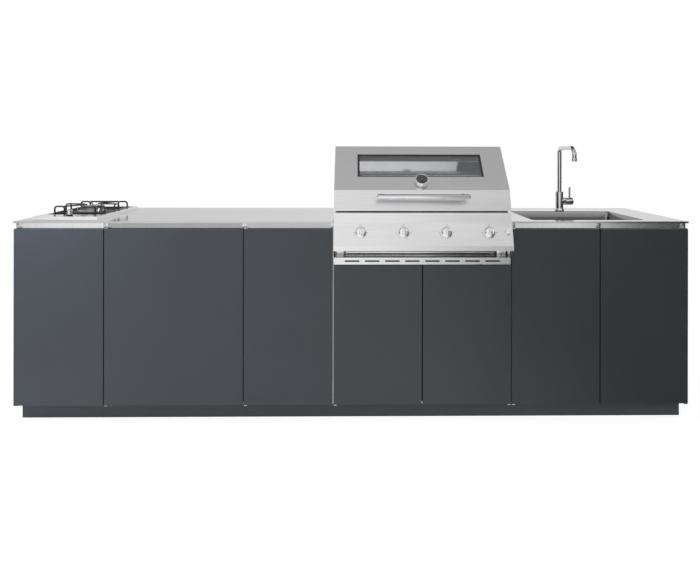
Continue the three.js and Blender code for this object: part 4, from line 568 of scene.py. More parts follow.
def tube(mesh, path, radius, sides=16, closed=False):
    """Sweeps a circle along a path; radius may be one number or a list of one for each point."""
    path = [Vector(p) for p in path]
    count = len(path)
    radii = radius if isinstance(radius, list) else [radius] * count
    rings = []
    for i, point in enumerate(path):
        before = path[i - 1] if closed or i else point
        after = path[(i + 1) % count] if closed or i < count - 1 else point
        along = (after - before).normalized()
        across = (across - along * across.dot(along) if i else along.orthogonal()).normalized()
        up = along.cross(across)
        spokes = [(across * math.cos(a) + up * math.sin(a)) * radii[i] for a in circle(sides)]
        rings.append([mesh.verts.new(point + spoke) for spoke in spokes])
    for i in range(count if closed else count - 1):
        low, high = rings[i], rings[(i + 1) % count]
        shift = 0
        if i == count - 1:
            shift = min(range(sides), key=lambda s: (low[0].co - high[s].co).length)
        for k in range(sides):
            here, there = (k + shift) % sides, (k + 1 + shift) % sides
            mesh.faces.new((low[k], low[(k + 1) % sides], high[there], high[here]))
    if not closed:
        mesh.faces.new(rings[0])
        mesh.faces.new(rings[-1])
    return mesh


wire_black = enamelled("wire enamel", grey(0.010, 0.001), 0.3)
support_low, support_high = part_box("pan_support")
foot_z, wire_z, base_z = support_low.z, support_high.z - support_wire, support_low.z + support_wire
edge_x = (support_low.x + support_wire, support_high.x - support_wire)
edge_y = (support_low.y + support_wire, support_high.y - support_wire)
inner_x = (edge_x[0] + corner_loop, edge_x[1] - corner_loop)
support_middle = Vector(((edge_x[0] + edge_x[1]) / 2, (edge_y[0] + edge_y[1]) / 2, wire_z))
square = [(edge_x[i], edge_y[k], base_z) for i, k in ((0, 0), (1, 0), (1, 1), (0, 1))]
support = tube(bmesh.new(), rounded(square, base_bend, 6, closed=True), support_wire, 20, closed=True)


def wire_loop(start, stop):
    """A wire that stands up from the dish, crosses over and comes down again."""
    corners = [(*start, foot_z + 0.001), (*start, wire_z), (*stop, wire_z), (*stop, foot_z + 0.001)]
    path = [Vector((*start, foot_z))] + rounded(corners, support_bend, 10) + [Vector((*stop, foot_z))]
    tube(support, path, [support_wire * 0.8] + [support_wire] * (len(path) - 2) + [support_wire * 0.8], 20)


def wire_finger(start, long):
    aim = (support_middle - start).normalized()
    path = [start, start + aim * (long - 0.002), start + aim * long]
    tube(support, path, [finger_wire, finger_wire, finger_wire * 0.6], 20)


for outer, inner in zip(edge_x, inner_x):
    for y in edge_y:
        wire_loop((outer, y), (inner, y))
        wire_finger(Vector((inner, y, wire_z)), corner_finger)
    wire_loop((outer, support_middle.y - side_loop / 2), (outer, support_middle.y + side_loop / 2))
    wire_finger(Vector((outer, support_middle.y, wire_z)), side_finger)
tube(support, [(x, edge_y[1], wire_z) for x in inner_x], support_wire, 20)
make("pan_support_wires", support, wire_black, "pan_support", "cast_iron", "pan_support", smooth=40)
pads = bmesh.new()
for x in edge_x:
    for y in edge_y:
        lathe(pads, [(0, 0), (4.3, 0), (4.5, 0.4), (4.5, 4), (4.2, 4.6), (0, 4.6)], 20, (x, y, foot_z))
make("pan_support_pads", pads, seal_rubber, "pan_support", "enamel")

# Sink: a deep bowl pressed from one stainless sheet, satin inside with a soft radius all round
# its floor, and hung from clips under the bench by its flange.

bowl_half_x, bowl_half_y, waste_radius = 0.259, 0.191, 0.045
bowl_flange, bowl_draft, bowl_corner = 0.012, 0.014, 0.016
bowl_sheet, bowl_lip, floor_bend = 0.0010, 0.0003, 0.020
wall_steps, bend_steps = 5, 8
floor_falls = ((0.10, 0.0019), (0.35, 0.0014), (0.65, 0.0009), (0.9, 0.0004), (1.0, 0.0001))
clip_inset, clip_out, clip_half_x, clip_half_y = 0.07, 0.006, 0.010, 0.004
clip_foot, clip_head = 0.0155, 0.0013
sink_low, sink_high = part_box("sink_bowl")
bowl_x, bowl_y, bowl_top = (sink_low.x + sink_high.x) / 2, (sink_low.y + sink_high.y) / 2, sink_high.z
bowl_floor = sink_low.z + bowl_sheet


def bowl_ring(grow, z, corner):
    plan = round_plan(bowl_half_x + grow, bowl_half_y + grow, corner, 10)
    return [(bowl_x + x, bowl_y + y, z) for x, y in plan]


def floor_ring(share, z, grow):
    """A ring of the floor part of the way from its edge to the waste."""
    ring = []
    for x, y, _ in bowl_ring(grow, z, bowl_corner):
        a = math.atan2((y - bowl_y) / bowl_half_y, (x - bowl_x) / bowl_half_x)
        cx, cy = bowl_x + waste_radius * math.cos(a), bowl_y + waste_radius * math.sin(a)
        ring.append((x + (cx - x) * share, y + (cy - y) * share, z))
    return ring


def outside(x, y, z):
    """The outer face's point for one of the inner face: sideways on the walls, down elsewhere."""
    dx, dy = x - bowl_x, y - bowl_y
    wall = max(abs(dx) / bowl_half_x, abs(dy) / bowl_half_y) > 0.86 and z < bowl_top - 0.0005
    share = bowl_sheet / math.hypot(dx, dy) if wall else 0
    return (x + dx * share, y + dy * share, z if wall else z - bowl_sheet)


# The bowl is a darker copy of the bench stainless: painted shade and reflection inside it.
bowl_painted_shade_satin = brushed("bowl satin sheet with painted shade", grey(0.31), 0.18, lines=520)
wall_foot = -bowl_lip - bowl_draft * 0.95
inner = [bowl_ring(bowl_flange, bowl_top, bowl_corner + bowl_flange),
         bowl_ring(0.0002, bowl_top, bowl_corner), bowl_ring(-bowl_lip, bowl_top - 0.0006, bowl_corner)]
for share in (step / wall_steps for step in range(1, wall_steps)):
    fall = (bowl_top - bowl_floor - floor_bend) * share
    inner.append(bowl_ring(-bowl_lip - bowl_draft * share, bowl_top - fall, bowl_corner))
for a in (step / bend_steps * math.pi / 2 for step in range(bend_steps + 1)):
    z = bowl_floor + floor_bend * (1 - math.sin(a)) + 0.0022
    inner.append(bowl_ring(wall_foot - floor_bend * (1 - math.cos(a)), z, bowl_corner - 0.004))
inner += [floor_ring(share, bowl_floor + drop, wall_foot - floor_bend) for share, drop in floor_falls]
bowl = bmesh.new()
stacked(bowl, inner + [[outside(*point) for point in ring] for ring in reversed(inner)], "looped")
make("sink_basin_sheet", bowl, bowl_painted_shade_satin, "island", "bench_steel", "sink_bowl", smooth=50)
clips = bmesh.new()
for x in (bowl_x - bowl_half_x + clip_inset, bowl_x + bowl_half_x - clip_inset):
    for side in (-1, 1):
        y = bowl_y + side * (bowl_half_y + clip_out)
        slab(clips, (x - clip_half_x, y - clip_half_y, bowl_top - clip_foot),
             (x + clip_half_x, y + clip_half_y, bowl_top - clip_head), 0.0006)
make("sink_clips", clips, zinc, "island", "cabinet_steel")

# Sink waste: a pressed stainless cup clamped through the bowl by a white plastic nut, with a
# bottle trap below it and a pipe that runs to the back of the cabinet.

waste_at, outlet_drop = (bowl_x, bowl_y, bench_top), 0.284
waste_steel = brushed("waste steel", grey(0.68, 0.01), 0.22, lines=520)
trap_white = moulded("trap plastic", grey(0.66, -0.02), 0.38)
cup = lathe(bmesh.new(), [
    (0, -221.8), (43.7, -221.8), (44.6, -220.8), (44.6, -178.7), (53.3, -178.7), (54, -178.3), (53.5, -177.7),
    (47.5, -177.6), (44, -178.4), (42.8, -180.2), (42.8, -219), (41.8, -219.9), (0, -219.9)], 72, waste_at)
make("waste_cup", cup, waste_steel, "island", "bench_steel")
trap = lathe(bmesh.new(), [(45, -186.3), (56, -186.3), (56, -180.6), (45, -180.6)], 12, waste_at)
lathe(trap, [(0, -264), (19.5, -264), (19.5, -248), (29, -248), (29, -228.5), (20, -227), (20, -221.9),
             (0, -221.9)], 40, waste_at)
lathe(trap, [(0, -357), (18, -357), (26, -354.5), (30, -349), (30, -333), (32, -331.5), (32, -318),
             (29.8, -316.5), (29.8, -272), (27, -266), (18, -262.2), (0, -262.2)], 48, waste_at)
outlet_at, outlet_run = (bowl_x, bowl_y, bench_top - outlet_drop), (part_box("waste_trap")[1].y - bowl_y) / mm
lathe(trap, [(0, 20), (16.5, 20), (16.5, outlet_run - 0.4), (15, outlet_run), (0, outlet_run)], 40,
      outlet_at, facing_back)
lathe(trap, [(0, 27), (16.9, 27), (16.9, 52), (0, 53)], 10, outlet_at, facing_back)
make("waste_pipework", trap, trap_white, "island", "white_plastic", "waste_trap", smooth=40)

# Basket strainer: a pressed stainless cup with slots in its floor and wall, that lifts out of the
# waste by the turned knob on its stem.

basket_sheet, basket_sides, rim_radius, rim_height = 0.0009, 48, 0.0417, 0.0331
basket_rings = [(radius, 1) for radius in (4, 10, 14.5, 20, 25, 30, 35, 39.2)] + [(41.2, 1.6)]
basket_rings += [(42.1, height) for height in (3.4, 9, 16, 19, 26, 33)]
floor_slots, wall_slots = (1, 3, 5), (10, 12)
basket_at = Vector((bowl_x, bowl_y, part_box("basket_strainer")[0].z))


def basket_point(radius, a, height):
    return basket_at + Vector((radius * math.cos(a), radius * math.sin(a), height))


basket_steel = polished("strainer steel", grey(0.78, 0.01), 0.12)
basket = bmesh.new()
rings = [[basket.verts.new(basket_point(radius * mm, a, height * mm)) for a in circle(basket_sides)]
         for radius, height in basket_rings]
for row, (low, high) in enumerate(zip(rings, rings[1:])):
    for i in range(basket_sides):
        slotted = (row in floor_slots and i % 4 < 2) or (row in wall_slots and i % 3 == 0)
        if not slotted:
            k = (i + 1) % basket_sides
            basket.faces.new((low[i], low[k], high[k], high[i]))
cup_piece = make("strainer_cup_sheet", basket, basket_steel, "basket_strainer", "bench_steel",
                 "basket_strainer", smooth=40)
sheet = cup_piece.modifiers.new("sheet", "SOLIDIFY")
sheet.thickness, sheet.offset = basket_sheet, 0
stem = lathe(bmesh.new(), [
    (0, 0.2), (6, 0.2), (6.2, 1.2), (5, 2.2), (3, 3), (2.8, 33.5), (4.5, 35), (8.5, 38.5), (9, 40.5),
    (8.8, 42.5), (7, 45.8), (4.2, 47.7), (0, 48)], 48, basket_at)
tube(stem, [basket_point(rim_radius, a, rim_height) for a in circle(72)], 0.0007, 10, closed=True)
make("strainer_knob", stem, basket_steel, "basket_strainer", "bench_steel")

# Tap body: a bright chromed brass column with a flared foot, clamped through the bench by a brass
# nut. A branch at its right carries the cartridge, and black seals lie under and inside it.

tap_back, branch_rise = 0.472, 0.050
tail_radius, tail_out, tail_top, tail_end = 0.0045, 0.006, 0.050, 0.0595
tap_chrome = polished("tap chrome", grey(0.66), 0.11)
seal_black = moulded("seal rubber", grey(0.012, 0), 0.5)
spout_low, spout_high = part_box("tap_spout")
tap_x, tap_y = (spout_low.x + spout_high.x) / 2, island_front + tap_back
tap_at, branch_at = (tap_x, tap_y, bench_top), (tap_x, tap_y, bench_top + branch_rise)
facing_right = Matrix.Rotation(math.pi / 2, 3, "Y")
flare = [(24 - 4 * math.sin(step * math.pi / 12), 4.8 + 2.2 * step) for step in range(7)]
body = lathe(bmesh.new(), [
    (0, -59), (13.2, -59), (14, -58), (14, 0.4), (23.6, 0.4), (24, 0.9), (24, 4.2), *flare, (20, 100),
    (19.75, 101), (19, 101.7), (18, 101.9), (11.4, 101.9), (11.4, 72.2), (0, 72.2)], 96, tap_at)
lathe(body, [(0, 0), (19, 0), (19, 27), (18.4, 27.8), (12, 27.9), (12, 41.8), (0, 41.9)], 80, branch_at,
      facing_right)
make("tap_column", body, tap_chrome, "island", "chrome_parts", "tap_body", smooth=40)
tap_nut = lathe(bmesh.new(), [
    (13.8, -6.8), (23.6, -6.8), (24, -6.4), (24, -2.2), (23.6, -1.8), (13.8, -1.8)], 6, tap_at)
for a in (0.4, 2.2):
    x, y = tap_x + tail_out * math.cos(a), tap_y + tail_out * math.sin(a)
    tube(tap_nut, [(x, y, bench_top - tail_top), (x, y, bench_top - tail_end)], tail_radius, 14)
make("tap_back_nut", tap_nut, valve_brass, "island", "brass")
seals = lathe(bmesh.new(), [(15, 0.05), (23.2, 0.05), (23.2, 0.5), (15, 0.5)], 64, tap_at)
lathe(seals, [(10.8, 100.5), (12.8, 100.5), (12.8, 101.9), (12, 102.2), (11.2, 102.2), (10.8, 101.9)],
      64, tap_at)
make("tap_seals", seals, seal_black, "island", "enamel")

# Tap spout: a bent chromed pipe that swivels in the body, with a turned nozzle on its end. The
# nozzle holds a grey flow screen with rings of fine holes.

pipe_radius, spout_reach, spout_height = 0.011, 0.206, 0.343
spout_foot, pipe_end, nozzle_z = 0.0723, 0.275, 0.265
spout_bends = [0, 0.024, 0.042, 0]
pipe_run = [(0, spout_foot), (0, spout_height - pipe_radius), (spout_reach, spout_height - pipe_radius),
            (spout_reach, pipe_end)]
pipe_points = [(tap_x, tap_y - forward, bench_top + z) for forward, z in pipe_run]
nozzle_at = Vector((tap_x, tap_y - spout_reach, bench_top + nozzle_z))
spout = tube(bmesh.new(), rounded(pipe_points, spout_bends, 20), pipe_radius, 40)
lathe(spout, [(0, 6), (9.2, 6), (9.2, 0.3), (9.8, 0), (12, 0), (12.5, 0.6), (12.5, 14.8), (11.8, 15.8),
              (10.8, 16), (0, 16)], 64, nozzle_at)
make("tap_pipe", spout, tap_chrome, "tap_spout", "chrome_parts", "tap_spout", smooth=40)
screen = lathe(bmesh.new(), [(0, 4), (9.1, 4), (9.1, 6.1), (0, 6.1)], 32, nozzle_at)
for ring in (1, 2, 3):
    for a in circle(6 * ring):
        hole_at = nozzle_at + Vector((math.cos(a), math.sin(a), 0)) * 2.4 * ring * mm
        lathe(screen, [(0, 3.4), (0.6, 3.4), (0.8, 4.1), (0, 4.1)], 6, hole_at)
make("tap_flow_screen", screen, seal_rubber, "tap_spout", "enamel")

# Tap cap and lever: a chromed cap over the cartridge that turns for warm and cold, and a thin
# satin lever that tilts in a slot through it, sealed by a black gasket.

slot_from, slot_to, slot_half, lever_out = 0.0489, 0.0662, 0.0052, 0.054
gasket_low, gasket_high = 0.0150, 0.0190
cartridge = lathe(bmesh.new(), [
    (0, 28.6), (18.4, 28.6), (19, 29.3), (19, 68), (18.7, 69), (17.8, 69.7), (12, 70), (0, 70)], 96,
    branch_at, facing_right)
make("tap_cartridge_cap", cartridge, tap_chrome, "tap_cap", "chrome_parts", "tap_cap", smooth=40)
gasket_x, gasket_half = tap_x + (slot_from + slot_to) / 2, (slot_to - slot_from) / 2
gasket_plan = round_plan(gasket_half, slot_half, slot_half, 6)
gasket = bmesh.new()
stacked(gasket, [[(gasket_x + x, tap_y + y, branch_at[2] + z) for x, y in gasket_plan]
                 for z in (gasket_low, gasket_high)])
make("tap_lever_gasket", gasket, seal_black, "tap_cap", "enamel")
lever_satin = brushed("satin lever plating", grey(0.66), 0.52, along=2)
lever = lathe(bmesh.new(), [
    (0, 0), (4.6, 0), (4.6, 19.5), (5, 21.5), (5, 72), (4.7, 73.6), (3.8, 74.6), (2, 75), (0, 75)], 40,
    (tap_x + lever_out, tap_y, branch_at[2]))
make("tap_lever_pin", lever, lever_satin, "tap_lever", "chrome_parts", "tap_lever", smooth=40)

# Grill firebox: an aluminised steel box under the hood, browned by heat round its top, with two
# runners under it for the drip tray and tabs inside for the warming rack.

grill_x = 0.310


def mixed(tree, share, first, second):
    return node(tree, "Mix", {0: share, 6: first, 7: second}, data_type="RGBA").outputs[2]


def heated(name, colour, scorch, roughness, low_z, high_z):
    """Bare sheet that browns towards the flames."""
    material, tree, shader, place = coated(name, metallic=1.0)
    grain, cloud = noise(tree, place, 1.0, 3, (14, 620, 620)), noise(tree, place, 7, 5)
    height = node(tree, "SeparateXYZ", {"Vector": place}).outputs["Z"]
    rise = node(tree, "MapRange", {"Value": height, "From Min": low_z, "From Max": high_z}).outputs["Result"]
    browned = maths(tree, "ADD", rise, spread(tree, cloud, -0.25, 0.35), use_clamp=True)
    tone = mixed(tree, browned, between(tree, grain, shade(colour, 0.85), shade(colour, 1.12)), scorch)
    surface(tree, shader, tone, spread(tree, cloud, roughness - 0.08, roughness + 0.15), grain, 0.00005)
    return material


smoke_brown, firebox_grey = (0.10, 0.075, 0.055, 1), (0.34, 0.335, 0.33, 1)
firebox_sheet = heated("firebox sheet", firebox_grey, smoke_brown, 0.4, low_z=0.80, high_z=1.05)
dress("firebox", firebox_sheet, 0.0005)

# Gas manifold: a brass pipe behind the control panel with a machined tap, stem and nozzle for
# each of the four burners, and a hexagon cap on either end.

panel_lean, knob_rise, button_side, pipe_behind = math.atan2(45, 141), 0.060, 0.374, -0.024
panel_out, panel_drop, first_cap_inset, last_cap_inset = 0.051, 0.102, 0.002, 0.014
face_fold = Vector((0, island_front - panel_out, bench_top - panel_drop))


def leaning(lean):
    """Turns a flat drawing up on to a face that leans back by this angle."""
    return Matrix.Rotation(math.pi / 2 - lean, 3, "X")


face_turn = leaning(panel_lean)


def on_face(x, up, out=0.0):
    return face_fold + face_turn @ Vector((x, up, out))


dress("gas_manifold", valve_brass, 0.0004)
manifold_low, manifold_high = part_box("gas_manifold")
pipe_caps = bmesh.new()
for x in (manifold_low.x + first_cap_inset, manifold_high.x - last_cap_inset):
    lathe(pipe_caps, [(0, 0), (11, 0), (11.8, 1), (11.8, 11), (11, 12), (0, 12)], 6,
          on_face(x, knob_rise, pipe_behind), facing_right)
make("manifold_caps", pipe_caps, valve_brass, "island", "brass")

# Tube burners: four stainless tubes across the firebox floor, pinched shut at the back, with a
# flared air mouth in front and a row of flame ports along each side, drawn as near-black patches of
# painted shade where the holes would be.

burner_xs = (0.033, 0.223, 0.413, 0.603)
pinch_long, pinch_flat, pinch_wide = 0.026, 0.82, 0.08
port_count, port_start, port_pitch, port_long = 26, 0.075, 0.0135, 0.0035
port_side, port_half, port_low, port_high = 0.0116, 0.0007, 0.0030, 0.0042
tube_grey, tube_brown = (0.50, 0.49, 0.48, 1), (0.16, 0.10, 0.07, 1)
burner_steel = heated("burner tube steel", tube_grey, tube_brown, 0.35, low_z=0.84, high_z=0.90)
# Near-black for the ports: painted shade for the port holes, which are drawn as patches.
port_painted_shade = moulded("flame port painted shade", (0.006, 0.0055, 0.005, 1), 0.8)
for index, x in enumerate(burner_xs, 1):
    tube_low, tube_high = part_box(f"tube_burner_{index}")
    run, tube_z = (tube_high.y - tube_low.y) / mm, (tube_low.z + tube_high.z) / 2
    pipe = lathe(bmesh.new(), [
        (8.6, 28), (8.8, 1), (12.2, 0), (12.5, 0.8), (11.8, 10), (10, 20), (9.8, 34), (11.2, 48), (12.5, 62),
        (12.5, run - 26), (11.8, run - 14), (11, run)], 32, (x, tube_low.y, tube_z), facing_back)
    for vert in pipe.verts:
        share = (vert.co.y - (tube_high.y - pinch_long)) / pinch_long
        if share > 0:
            vert.co.z = tube_z + (vert.co.z - tube_z) * (1 - pinch_flat * min(1, share * 1.4))
            vert.co.x = x + (vert.co.x - x) * (1 + pinch_wide * min(1, share))
    make(f"burner_pipe_{index}", pipe, burner_steel, "island", "cabinet_steel",
         f"tube_burner_{index}", smooth=40)
    ports = bmesh.new()
    for middle in (x - port_side, x + port_side):
        for y in (tube_low.y + port_start + step * port_pitch for step in range(port_count)):
            slab(ports, (middle - port_half, y, tube_z + port_low),
                 (middle + port_half, y + port_long, tube_z + port_high))
    make(f"burner_ports_{index}", ports, port_painted_shade, "island", "enamel")

# Drip tray: a folded tray in black enamel that hangs on the firebox runners and slides out
# forwards under the control panel, with a rolled lip and a bright steel grip along its front.

lip_radius, lip_back, lip_drop, lip_inset = 0.0026, 0.0030, 0.0028, 0.004
grip_rise, grip_sheet, grip_inset = 0.0085, 0.0008, 0.003
dress("drip_tray", black_enamel, 0.0008)
tray_low, tray_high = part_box("drip_tray")
lip_xs = (tray_low.x + lip_inset, tray_high.x - lip_inset)
lip = tube(bmesh.new(), [(x, tray_low.y + lip_back, tray_high.z - lip_drop) for x in lip_xs], lip_radius, 16)
make("drip_tray_lip", lip, black_enamel, "drip_tray", "enamel", smooth=50)
grip_steel = brushed("tray grip steel", grey(0.80), 0.14)
grip = slab(bmesh.new(), (tray_low.x + grip_inset, tray_low.y - grip_sheet, tray_low.z + 0.0002),
            (tray_high.x - grip_inset, tray_low.y - 0.0001, tray_low.z + grip_rise), 0.0002)
make("drip_tray_grip", grip, grip_steel, "drip_tray", "cabinet_steel")

# Tray side closers: two small angles of bright sheet on the vent strip that fill the gap at
# either end of the drip tray, so that the front shows no hole there.

closer_y, closer_rise, closer_foot, closer_sheet = island_front + 0.0765, 0.022, 0.008, 0.0008
tray_gap, vent_gap, closer_z = 0.004, 0.0012, vent_high.z + 0.0002
closers = bmesh.new()
left_gap = (vent_low.x + vent_gap, tray_low.x - tray_gap)
right_gap = (tray_high.x + tray_gap, vent_high.x - vent_gap)
for x0, x1 in (left_gap, right_gap):
    slab(closers, (x0, closer_y, closer_z), (x1, closer_y + closer_sheet, vent_high.z + closer_rise), 0.0002)
    slab(closers, (x0, closer_y - closer_foot, closer_z),
         (x1, closer_y + closer_sheet / 2, closer_z + closer_sheet), 0.0002)
make("tray_side_closers", closers, grip_steel, "island", "cabinet_steel")

# Hotplate and cooking grate: seasoned castings that lie side by side on the firebox ledges. The
# plate has a raised rim and three low ribs, and the grate's bars taper towards their tops.

rib_count, rib_front, rib_pitch, rib_wide, rib_inset = 3, 0.016, 0.012, 0.005, 0.030
rib_low, rib_high = 0.0055, 0.0078
seasoned_iron = cast("seasoned iron", (0.022, 0.021, 0.021, 1), 0.48, 0.35)
dress("hotplate", seasoned_iron, 0.0012)
dress("cooking_grate", seasoned_iron, 0.0014)
plate_low, plate_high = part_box("hotplate")
ribs = bmesh.new()
for y in (plate_low.y + rib_front + step * rib_pitch for step in range(rib_count)):
    slab(ribs, (plate_low.x + rib_inset, y, plate_low.z + rib_low),
         (plate_high.x - rib_inset, y + rib_wide, plate_low.z + rib_high), 0.0009)
make("hotplate_ribs", ribs, seasoned_iron, "hotplate", "cast_iron", smooth=50)

# Warming rack: chromed wires laid across two rails, carried under the hood by four bent legs
# that stand on the firebox tabs.

rack_wire, rack_rail, rack_half, rack_pitch, leg_out, leg_bend = 0.0020, 0.0030, 0.362, 0.019, 0.378, 0.010
rack_rows, leg_rise = [(0.145, 0.240), (0.275, 0.330)], 0.050
rack_chrome = polished("rack wire plating", grey(0.70, 0), 0.14)
rack_low, rack_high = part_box("warming_rack")
rail_z, wire_z = rack_high.z - 2 * rack_wire - 0.0010, rack_high.z - rack_wire
rack_ys = [island_front + rail for rail, _ in rack_rows]
rack = bmesh.new()
for y in rack_ys:
    tube(rack, [(grill_x - rack_half, y, rail_z), (grill_x + rack_half, y, rail_z)], rack_rail, 14)
wire_count = round(2 * rack_half / rack_pitch)
wire_ends = (rack_ys[0] - rack_rail + 0.0002, rack_ys[1] + rack_rail - 0.0002)
for i in range(wire_count + 1):
    x = grill_x - rack_half + rack_wire + i * 2 * (rack_half - rack_wire) / wire_count
    tube(rack, [(x, y, wire_z) for y in wire_ends], rack_wire, 12)
for side in (-1, 1):
    for rail, foot in rack_rows:
        near, far = grill_x + side * (rack_half - rack_rail), grill_x + side * leg_out
        leg = [(near, island_front + rail, rail_z), (far, island_front + rail, rail_z),
               (far, island_front + foot, bench_top + leg_rise), (far, island_front + foot, rack_low.z)]
        tube(rack, rounded(leg, leg_bend, 8), rack_rail, 14)
make("rack_wires", rack, rack_chrome, "warming_rack", "bench_steel", "warming_rack", smooth=40)

# Control panel: a folded stainless fascia that leans back from its lower lip, brushed along its
# length, with a turned bezel round every tap and a collar round the ignition button.

off_rise, off_size, dot_circle = 0.0325, 0.0062, 0.0305
dots = ((180, 1.6), (205, 1.3), (230, 1.1), (255, 0.9), (0, 1.6))


def lettering(mesh, text, size, at, turn, depth=0.0001):
    """Raised print in the built-in plain face, centred on a point."""
    curve = bpy.data.curves.new("print", "FONT")
    curve.body, curve.size, curve.extrude = text, size, depth
    curve.align_x, curve.align_y = "CENTER", "CENTER"
    holder = bpy.data.objects.new("print", curve)
    flat = bpy.data.meshes.new_from_object(holder)
    flat.transform(Matrix.Translation(at) @ turn.to_4x4())
    mesh.from_mesh(flat)
    bpy.data.objects.remove(holder)
    bpy.data.curves.remove(curve)
    bpy.data.meshes.remove(flat)


panel_steel = brushed("control panel steel", grey(0.84), 0.26, lines=fine_lines)
dress("control_panel", panel_steel, 0.0008)
bezels, print_marks = bmesh.new(), bmesh.new()
for x in burner_xs:
    lathe(bezels, [(10.5, 1.2), (26.2, 1.2), (26.8, 1.8), (26.6, 2.6), (25.6, 3), (24.4, 2.9), (23.8, 2.6),
                   (10.5, 2.6)], 80, on_face(x, knob_rise), face_turn)
    lettering(print_marks, "OFF", off_size, on_face(x, knob_rise + off_rise, 0.0001), face_turn)
    for degrees, size in dots:
        a = math.radians(degrees)
        spot = on_face(x + dot_circle * math.cos(a), knob_rise + dot_circle * math.sin(a))
        lathe(print_marks, [(0, -0.1), (size, -0.1), (size, 0.1), (0, 0.1)], 20, spot, face_turn)
make("panel_bezels", bezels, chrome, "island", "chrome_parts", smooth=40)
print_black = moulded("panel print", grey(0.02, 0.002), 0.5)
make("panel_marks", print_marks, print_black, "island", "enamel", smooth=20)
collar = lathe(bmesh.new(), [
    (6, 1), (12.8, 1), (13.5, 1.6), (13.5, 3.4), (12.7, 4.3), (11.2, 4.4), (10.8, 4), (6, 4)], 64,
    on_face(grill_x + button_side, knob_rise), face_turn)
make("button_collar", collar, chrome, "island", "chrome_parts", smooth=40)

# Burner knobs: chromed zinc castings, each a conical skirt with a raised grip bar across it, a
# black pointer line along the bar and a black seal ring at its base.

knob_out, grip_half_x, grip_half_y = 0.0033, 0.0064, 0.0189
grip_levels = ((0.0120, 0), (0.0235, 0), (0.0250, 0.0005), (0.0257, 0.0013), (0.0260, 0.0028))
pointer_low, pointer_high = (-0.0007, 0.00475, 0.0257), (0.0007, 0.01725, 0.0261)
grip_plan = round_plan(grip_half_x, grip_half_y, grip_half_x, 10)
for index, x in enumerate(burner_xs, 1):
    at, body = on_face(x, knob_rise, knob_out), f"burner_knob_{index}"
    knob = lathe(bmesh.new(), [
        (5.5, 0), (22.2, 0), (23, 0.8), (23, 5.8), (22.4, 6.8), (21.2, 8), (19.6, 13.2), (18.6, 14.4),
        (16, 15), (0, 15)], 96, at, face_turn)
    rings = []
    for z, inset in grip_levels:
        scale_x, scale_y = 1 - inset / grip_half_x, 1 - inset / grip_half_y
        rings.append([at + face_turn @ Vector((px * scale_x, py * scale_y, z)) for px, py in grip_plan])
    stacked(knob, rings)
    make(f"burner_knob_casting_{index}", knob, chrome, body, "chrome_parts", body, smooth=40)
    pointer = slab(bmesh.new(), pointer_low, pointer_high, at=at, turn=face_turn)
    lathe(pointer, [(6, 0.1), (21, 0.1), (21, -0.6), (6, -0.6)], 48, at, face_turn)
    make(f"burner_knob_pointer_{index}", pointer, knob_black, body, "enamel")

# Ignition button: a white moulded push cap that slides in the panel's collar against a spring,
# with a small spark mark on its face.

spark_corners = ((1, 4), (-2.2, -0.4), (-0.3, -0.4), (-1, -4), (2.2, 0.6), (0.3, 0.6))
spark_low, spark_high, button_out = 6.4, 6.75, 0.0093
button_white = moulded("button plastic", grey(0.88, -0.01), 0.24)
spark_grey = moulded("spark print", grey(0.34, 0.01), 0.5)
button_at = on_face(grill_x + button_side, knob_rise, button_out)
button = lathe(bmesh.new(), [
    (0, -19.5), (3.6, -19.5), (4, -19), (4, 0), (9.8, 0), (10.5, 0.6), (10.5, 5.2), (10.1, 6.3), (9, 6.9),
    (6, 6.7), (0, 6.5)], 64, button_at, face_turn)
make("ignition_cap", button, button_white, "ignition_button", "white_plastic", "ignition_button", smooth=40)
spark = bmesh.new()
stacked(spark, [[button_at + face_turn @ Vector((x, y, z)) * mm for x, y in spark_corners]
                for z in (spark_low, spark_high)])
make("ignition_mark", spark, spark_grey, "ignition_button", "enamel")

# Hood: a folded stainless shell, fine brushed across its width, open below and hinged on two
# pins. A heat shield of bright rolled sheet with a pressed bead hangs in front of its back slope.

shield_half, shield_back, shield_sheet = 0.384, 0.402, 0.0008
shield_side = [(-8, 1037), (0, 1045), (0, 1058), (-3, 1062), (-3, 1068), (0, 1072), (0, 1165), (-6, 1171)]
hood_steel = brushed("hood steel", grey(0.74), 0.22, lines=fine_lines)
dress("hood", hood_steel, 0.0010, 3)
shield_steel = polished("heat shield steel", grey(0.90), 0.05)
shield_rings = []
for x in (grill_x - shield_half, grill_x + shield_half):
    front = [Vector((x, island_front + shield_back + y * mm, z * mm)) for y, z in shield_side]
    shield_rings.append(front + [point + Vector((0, shield_sheet, 0)) for point in reversed(front)])
shield = bmesh.new()
stacked(shield, shield_rings)
make("heat_shield", shield, shield_steel, "hood", "hood_steel", smooth=20)

# Hood window: toughened smoke-tinted glass clamped behind the opening, with a black printed
# border round its edge.

slope_deep, slope_tall, slope_in, slope_rise = 0.173, 0.198, 0.017, 0.139
slope_long, slope_turn = math.hypot(slope_deep, slope_tall), leaning(math.atan2(slope_deep, slope_tall))
slope_foot = Vector((grill_x, island_front + slope_in, bench_top + slope_rise))
window_half, window_low, window_high = 0.291, 0.29 * slope_long, 0.807 * slope_long
border_in, border_out, border_back, border_front = 0.010, 0.006, -0.0024, -0.0022


def clear(name, alpha, dark, light, grain, shine):
    material, tree, shader, place = coated(name, alpha=alpha, ior=1.5)
    smear = noise(tree, place, *grain)
    surface(tree, shader, between(tree, smear, dark, light), spread(tree, smear, *shine))
    return material


